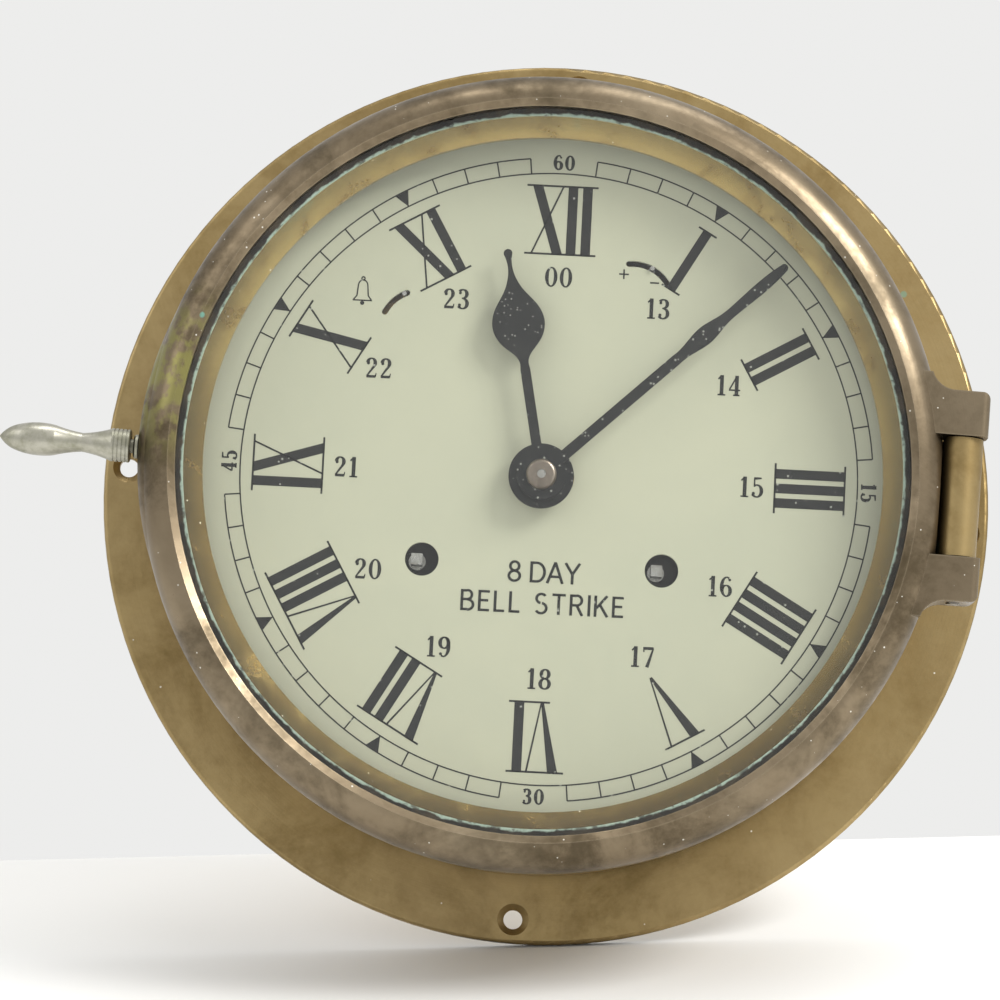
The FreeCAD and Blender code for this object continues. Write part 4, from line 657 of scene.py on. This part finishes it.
# Figures with stems and hairlines, one unit high; each gives its width and its strokes.
def figure(digit, hair=0.075, stem=0.18):
    shapes = {
        "0": (0.60, [bow(0.30, 0.5, 0.215, 0.465, 0, 360, hair, stem, 36)]),
        "1": (0.46, [line(0.25, 0.0, 0.25, 1.0, stem), line(0.06, 0.03, 0.44, 0.03, hair),
                     line(0.07, 0.80, 0.24, 0.96, hair, 0.10)]),
        "2": (0.58, [bow(0.28, 0.74, 0.18, 0.22, 175, -42, hair, stem),
                     line(0.43, 0.60, 0.08, 0.09, 0.13, hair), line(0.06, 0.07, 0.50, 0.07, 0.13),
                     line(0.49, 0.05, 0.53, 0.24, 0.07, 0.05), ball(0.13, 0.72, 0.075)]),
        "3": (0.58, [bow(0.25, 0.755, 0.19, 0.21, 150, -88, hair, stem),
                     bow(0.25, 0.275, 0.22, 0.25, 88, -150, hair, stem),
                     line(0.20, 0.535, 0.30, 0.535, hair), ball(0.12, 0.80, 0.07), ball(0.10, 0.20, 0.075)]),
        "4": (0.60, [line(0.40, 0.0, 0.40, 1.0, stem), line(0.40, 0.98, 0.05, 0.30, hair, hair),
                     line(0.03, 0.28, 0.58, 0.28, hair), line(0.24, 0.03, 0.56, 0.03, hair)]),
        "5": (0.58, [bow(0.26, 0.32, 0.23, 0.295, 120, -150, hair, stem), line(0.14, 0.52, 0.14, 0.97, hair),
                     line(0.13, 0.93, 0.48, 0.95, 0.13, 0.08), ball(0.10, 0.20, 0.075)]),
        "6": (0.60, [bow(0.33, 0.5, 0.235, 0.465, 62, 270, hair, stem),
                     bow(0.31, 0.30, 0.205, 0.265, -90, 180, hair, stem),
                     ball(0.47, 0.84, 0.07)]),
        "7": (0.56, [line(0.06, 0.92, 0.53, 0.92, 0.14), line(0.52, 0.92, 0.24, 0.0, hair, 0.17),
                     line(0.05, 0.98, 0.07, 0.74, 0.05, 0.07)]),
        "8": (0.60, [bow(0.30, 0.745, 0.18, 0.22, 0, 360, hair, stem, 32),
                     bow(0.30, 0.27, 0.215, 0.245, 0, 360, hair, stem, 32)]),
        "9": (0.60, [bow(0.27, 0.5, 0.235, 0.465, 90, -118, hair, stem),
                     bow(0.29, 0.70, 0.205, 0.265, 0, 360, hair, stem, 32),
                     ball(0.13, 0.16, 0.07)]),
    }
    return shapes[digit]


def boldFigure(digit):
    return figure(digit, hair=0.10, stem=0.23)


# Plain capitals of one even line, one unit high; w is the line's width and h half of it.
def capital(letter):
    w = dial["wordLine"] / dial["wordHeight"]
    h = w / 2
    shapes = {
        "8": (0.56, [bow(0.28, 0.74, 0.185, 0.21, 0, 360, w, w, 28),
                     bow(0.28, 0.28, 0.23, 0.235, 0, 360, w, w, 28)]),
        "D": (0.66, [line(h, 0, h, 1, w), line(h, 1 - h, 0.28, 1 - h, w), line(h, h, 0.28, h, w),
                     bow(0.28, 0.5, 0.33, 0.5 - h, 90, -90, w, w, 28)]),
        "A": (0.70, [line(0.03, 0, 0.35, 1, w), line(0.67, 0, 0.35, 1, w), line(0.15, 0.32, 0.55, 0.32, w)]),
        "Y": (0.66, [line(0.33, 0.45, 0.33, 0, w), line(0.33, 0.47, 0.03, 1, w),
                     line(0.33, 0.47, 0.63, 1, w)]),
        "B": (0.58, [line(h, 0, h, 1, w), line(h, 1 - h, 0.27, 1 - h, w), line(h, 0.53, 0.30, 0.53, w),
                     line(h, h, 0.30, h, w), bow(0.27, 0.745, 0.20, 0.215, 90, -90, w, w),
                     bow(0.30, 0.28, 0.235, 0.24, 90, -90, w, w)]),
        "E": (0.50, [line(h, 0, h, 1, w), line(h, 1 - h, 0.48, 1 - h, w), line(h, 0.52, 0.43, 0.52, w),
                     line(h, h, 0.48, h, w)]),
        "L": (0.48, [line(h, 0, h, 1, w), line(h, h, 0.46, h, w)]),
        "S": (0.56, [bow(0.28, 0.735, 0.20, 0.215, 35, 262, w, w, 26),
                     bow(0.28, 0.28, 0.225, 0.24, 82, -150, w, w, 26)]),
        "T": (0.60, [line(0.30, 0, 0.30, 1, w), line(0.02, 1 - h, 0.58, 1 - h, w)]),
        "R": (0.60, [line(h, 0, h, 1, w), line(h, 1 - h, 0.29, 1 - h, w), line(h, 0.49, 0.29, 0.49, w),
                     bow(0.29, 0.72, 0.215, 0.235, 90, -90, w, w), line(0.30, 0.49, 0.54, 0, w)]),
        "I": (0.11, [line(h, 0, h, 1, w)]),
        "K": (0.60, [line(h, 0, h, 1, w), line(0.10, 0.40, 0.54, 1, w), line(0.24, 0.58, 0.57, 0, w)]),
        " ": (0.28, []),
    }
    return shapes[letter]


# Sets letters side by side, centred on the origin, height tall and gap apart, and widened by stretch.
def setWord(text, letterOf, height, gap, stretch=1.0):
    strokes = []
    x = 0.0
    for letter in text:
        width, shapes = letterOf(letter)
        for shape in shapes:
            strokes.append(tuple((edge * [stretch, 1.0] + [x / height, -0.5]) * height for edge in shape))
        x += width * height * stretch + gap
    middle = (x - gap) / 2
    return [tuple(edge - np.array([middle, 0.0]) for edge in shape) for shape in strokes]


romanShape = {                   # shares of the thick line
    "slope": 1.05,               # a sloping thick stroke, measured level
    "footLeft": 0.18, "footRight": 0.1,      # a V's thick foot each side of its apex
}


# A Roman numeral from y = 0 at its foot to its full height, with a thin bar across each end.
def roman(text):
    d = dial
    tall = d["romanTop"] - d["romanFoot"]
    thick, thin = d["romanThick"], d["romanThin"]
    slope, footLeft, footRight = (thick * romanShape[name] for name in ("slope", "footLeft", "footRight"))
    strokes = []
    x = d["romanOverhang"]
    barStart = 0.0
    for index, letter in enumerate(text):
        if letter == "I":
            strokes.append(slanted(x + thick / 2, 0, x + thick / 2, tall, thick))
            x += d["romanPitch"] if text[index + 1:index + 2] == "I" else thick + d["romanGap"]
            continue
        right = x + d["romanWide"]
        if letter == "V":
            apex = x + d["romanWide"] / 2 + thick / 4
            strokes.append((np.array([[apex - footLeft, 0], [x, tall]]),
                            np.array([[apex + footRight, 0], [x + slope, tall]])))
            strokes.append((np.array([[apex - thin / 4, 0], [right - thin, tall]]),
                            np.array([[apex + thin / 2, 0], [right, tall]])))
            barStart = apex - thick / 4 - d["romanOverhang"]
        else:
            strokes.append(slanted(x + thick / 2, tall, right - thick / 2, 0, slope))
            strokes.append(slanted(x + thin / 2, 0, right - thin / 2, tall, thin))
        x = right + d["romanGap"]
    end = x - d["romanGap"] + d["romanOverhang"]
    bar = d["romanBar"]
    strokes.append(line(0, tall - bar / 2, end, tall - bar / 2, bar))
    if text != "V":
        strokes.append(line(barStart, bar / 2, end, bar / 2, bar))
    return [tuple(edge - np.array([end / 2, 0.0]) for edge in shape) for shape in strokes]


# Turns strokes clockwise by degrees and moves them to x, z on the dial.
def placed(strokes, degrees, x, z):
    turn = math.radians(degrees)
    rotation = np.array([[math.cos(turn), -math.sin(turn)], [math.sin(turn), math.cos(turn)]])
    return [tuple(edge @ rotation + np.array([x, z]) for edge in shape) for shape in strokes]


# A stroke round the dial's middle, clockwise from its top, between two angles in degrees.
def ringStroke(radius, width, start, end, count):
    angle = np.radians(np.linspace(start, end, count))
    way = np.stack([np.sin(angle), np.cos(angle)], axis=-1)
    return way * (radius - width / 2), way * (radius + width / 2)


# Prints strokes as one thin closed piece on the dial: each is a flat bar whose section follows its two edges.
def printStrokes(name, strokes):
    d = dial
    low = -d["front"]
    high = low - d["inkHeight"]
    points, faces, start = [], [], 0
    for left, right in strokes:
        rows = len(left)
        section = np.empty((rows, 4, 3))
        section[:, 0, ::2] = section[:, 1, ::2] = left
        section[:, 2, ::2] = section[:, 3, ::2] = right
        section[:, (0, 3), 1] = low
        section[:, (1, 2), 1] = high
        first, last = np.arange(4), np.arange(4 * rows - 4, 4 * rows)
        net = np.concatenate([gridFaces(rows, 4, False, True), [first[::-1]], [last]])
        solid = section.reshape(-1, 3)
        if signedVolume(solid - solid.mean(0), net) < 0:
            net = net[:, ::-1]
        points.append(solid)
        faces.append(net + start)
        start += len(solid)
    points = np.concatenate(points)
    turn = math.radians(d["turn"])
    flat = points[:, ::2].copy()
    points[:, 0] = flat[:, 0] * math.cos(turn) - flat[:, 1] * math.sin(turn)
    points[:, 2] = flat[:, 0] * math.sin(turn) + flat[:, 1] * math.cos(turn)
    piece = meshObject(name, points * mm, np.concatenate(faces), smooth=False)
    return finishPiece(piece, materials["dial_ink"], "case")


def onCircle(radius, degrees):
    return radius * math.sin(math.radians(degrees)), radius * math.cos(math.radians(degrees))


# Two thin rings joined by a tick at each minute, but at the quarters, and a triangle at each fifth.
def minuteTrack():
    d = dial
    strokes = [ringStroke(d["trackInner"], d["trackLine"], 0, 360, 361)]
    for corner in range(0, 360, 90):
        start, end = corner + d["trackBreak"], corner + 90 - d["trackBreak"]
        strokes.append(ringStroke(d["trackOuter"], d["trackLine"], start, end, 80))
    for minute in range(60):
        if minute % 15 == 0:
            continue
        if minute % 5 == 0:
            half = math.degrees(d["triangleBase"] / 2 / d["trackOuter"])
            tip = onCircle(d["trackInner"], 6 * minute)
            left = onCircle(d["trackOuter"], 6 * minute - half)
            right = onCircle(d["trackOuter"], 6 * minute + half)
            strokes.append((np.array([tip, left]), np.array([tip, right])))
        inner = onCircle(d["trackInner"], 6 * minute)
        outer = onCircle(d["trackOuter"], 6 * minute)
        strokes.append(line(*inner, *outer, d["tickLine"]))
    return printStrokes("dial_minute_track", strokes)


def minuteNumerals():
    d = dial
    strokes = []
    for minute, text, turn in ((0, "60", 0), (15, "15", 90), (30, "30", 0), (45, "45", -90)):
        word = setWord(text, boldFigure, d["minuteNumeralHeight"], d["minuteNumeralGap"])
        strokes += placed(word, turn, *onCircle(d["minuteNumeralRadius"], 6 * minute))
    return printStrokes("dial_minute_numerals", strokes)


def hourNumerals():
    d = dial
    names = ("XII", "I", "II", "III", "IIII", "V", "VI", "VII", "VIII", "IX", "X", "XI")
    large, small = [], []
    for hour, name in enumerate(names):
        large += placed(roman(name), 30 * hour, *onCircle(d["romanFoot"], 30 * hour))
        text = "00" if hour == 0 else str(hour + 12)
        word = setWord(text, figure, d["hourNumeralHeight"], d["hourNumeralGap"])
        small += placed(word, 0, *onCircle(d["hourNumeralRadius"], 30 * hour))
    printStrokes("dial_hour_numerals", large)
    printStrokes("dial_day_numerals", small)


def dialWords():
    d = dial
    tall, stretch = d["wordHeight"], d["wordStretch"]
    short = setWord("8 DAY", capital, tall, d["shortWordGap"], stretch)
    long = setWord("BELL STRIKE", capital, tall, d["longWordGap"], stretch)
    strokes = placed(short, 0, *d["shortWordPlace"]) + placed(long, 0, *d["longWordPlace"])
    return printStrokes("dial_words", strokes)


# The marks beside the two lever slots: a plus, a minus and a small outlined bell.
def dialMarks():
    d = dial
    long, short, thick, w = d["plusReach"], d["minusReach"], d["signLine"], d["bellLine"]
    plus = [line(-long, 0, long, 0, thick), line(0, -long, 0, long, thick)]
    minus = [line(-short, 0, short, 0, thick)]
    bell = [bow(0, 1.6, 1.35, 1.7, 0, 180, w, w),
            line(-1.35, 1.6, -1.6, -1.2, w), line(1.35, 1.6, 1.6, -1.2, w),
            line(-1.6, -1.2, -2.6, -2.5, w), line(1.6, -1.2, 2.6, -2.5, w),
            line(-2.75, -2.55, 2.75, -2.55, w),
            bow(0, 3.75, 0.45, 0.45, 0, 360, w, w), ball(0, -3.3, 0.6)]
    strokes = placed(plus, 0, *d["plusPlace"]) + placed(minus, 0, *d["minusPlace"])
    strokes += placed(bell, 0, *d["bellPlace"])
    return printStrokes("dial_marks", strokes)


minuteTrack()
minuteNumerals()
hourNumerals()
dialWords()
dialMarks()
print("dial printed")


stage = {
    "rise": math.radians(18.0),  # the floor climbs away from the camera by this much
    "roll": math.radians(6.0),
    "reach": 0.085,              # how far behind the clock it starts to fall away
    "fall": 4.0, "gap": 0.0004,
    "size": 3.0, "columns": 81,
    "bands": ((-3.0, 0.5, 60), (-0.1, 0.3, 60), (0.5, 3.0, 20)),     # rows in y: from, to and how many
    "colour": (0.86, 0.86, 0.85, 1.0), "shade": (0.84, 0.84, 0.83, 1.0),
    "roughness": 0.7, "cloudScale": 3.0, "cloudDetail": 3.0,
}


def floorMaterial():
    s = stage
    material, tree, shader, place = newMaterial("floor", Roughness=s["roughness"])
    cloud = tree.noise(place, s["cloudScale"], s["cloudDetail"])
    tree.put(shader.inputs["Base Color"], tree.mix(cloud, s["shade"], s["colour"]))
    return material


# The height grows with y by the rise's tangent and with x by the roll's. Past the reach it also falls,
# first with the square of the distance and then evenly.
def stageFloor():
    s = stage
    low = seatOf["mounting_flange"][0]
    across = np.linspace(-s["size"], s["size"], s["columns"])
    along = np.sort(np.concatenate([np.linspace(*band) for band in s["bands"]]))
    x, y = np.meshgrid(across, along, indexing="ij")
    behind = np.maximum(y - s["reach"], 0.0)
    fallen = s["fall"] * behind**2 / (1.0 + s["fall"] * behind)
    z = low.z - s["gap"] + y * math.tan(s["rise"]) + x * math.tan(s["roll"]) - fallen
    points = np.stack([x, y, z], axis=-1).reshape(-1, 3)
    faces = gridFaces(len(across), len(along), False, False)
    floor = meshObject("stage_floor", points, faces)
    floor.data.materials.append(floorMaterial())
    return floor


studio = {"colour": (0.92, 0.92, 0.91, 1.0), "strength": 0.92, "aim": (0, -0.05, 0)}
lights = {
    "key": {"place": (1.25, -1.15, 1.25), "size": (0.8, 0.8), "power": 32.0, "colour": (1.0, 0.985, 0.96)},
    "fill": {"place": (-1.5, -1.0, 0.9), "size": (1.0, 1.2), "power": 5.0, "colour": (1.0, 1.0, 1.0)},
    "top": {"place": (0.1, -0.2, 1.6), "size": (1.4, 0.6), "power": 8.0, "colour": (1.0, 1.0, 1.0)},
}


def areaLight(name, place, size, power, colour):
    data = bpy.data.lights.new(name, "AREA")
    data.shape = "RECTANGLE"
    data.size, data.size_y = size
    data.energy = power
    data.color = colour
    light = bpy.data.objects.new(name, data)
    light.location = place
    light.rotation_euler = (Vector(studio["aim"]) - Vector(place)).to_track_quat("-Z", "Y").to_euler()
    bpy.context.scene.collection.objects.link(light)


def lighting():
    world = bpy.data.worlds.new("studio")
    bpy.context.scene.world = world
    world.use_nodes = True
    backdrop = world.node_tree.nodes["Background"]
    backdrop.inputs["Color"].default_value = studio["colour"]
    backdrop.inputs["Strength"].default_value = studio["strength"]
    for name, values in lights.items():
        areaLight(name, **values)


camera = {
    "place": (-0.00574, -1.31416, -0.17217),
    "aim": (-0.01318, -0.06, -0.00828),
    "roll": math.radians(4.61),
    "lens": 162.0,
    "sensor": 36.0,
    "farthest": 50.0,
}


def makeCamera():
    c = camera
    data = bpy.data.cameras.new("camera")
    data.lens = c["lens"]
    data.sensor_width = c["sensor"]
    data.clip_end = c["farthest"]
    eye = bpy.data.objects.new("camera", data)
    look = (Vector(c["aim"]) - Vector(c["place"])).to_track_quat("-Z", "Y")
    eye.rotation_mode = "QUATERNION"
    eye.rotation_quaternion = look @ Quaternion((0, 0, 1), c["roll"])
    eye.location = c["place"]
    bpy.context.scene.collection.objects.link(eye)
    bpy.context.scene.camera = eye


stageFloor()
lighting()
makeCamera()
bpy.context.scene.view_settings.view_transform = "Standard"
print("stage, lights and camera set")
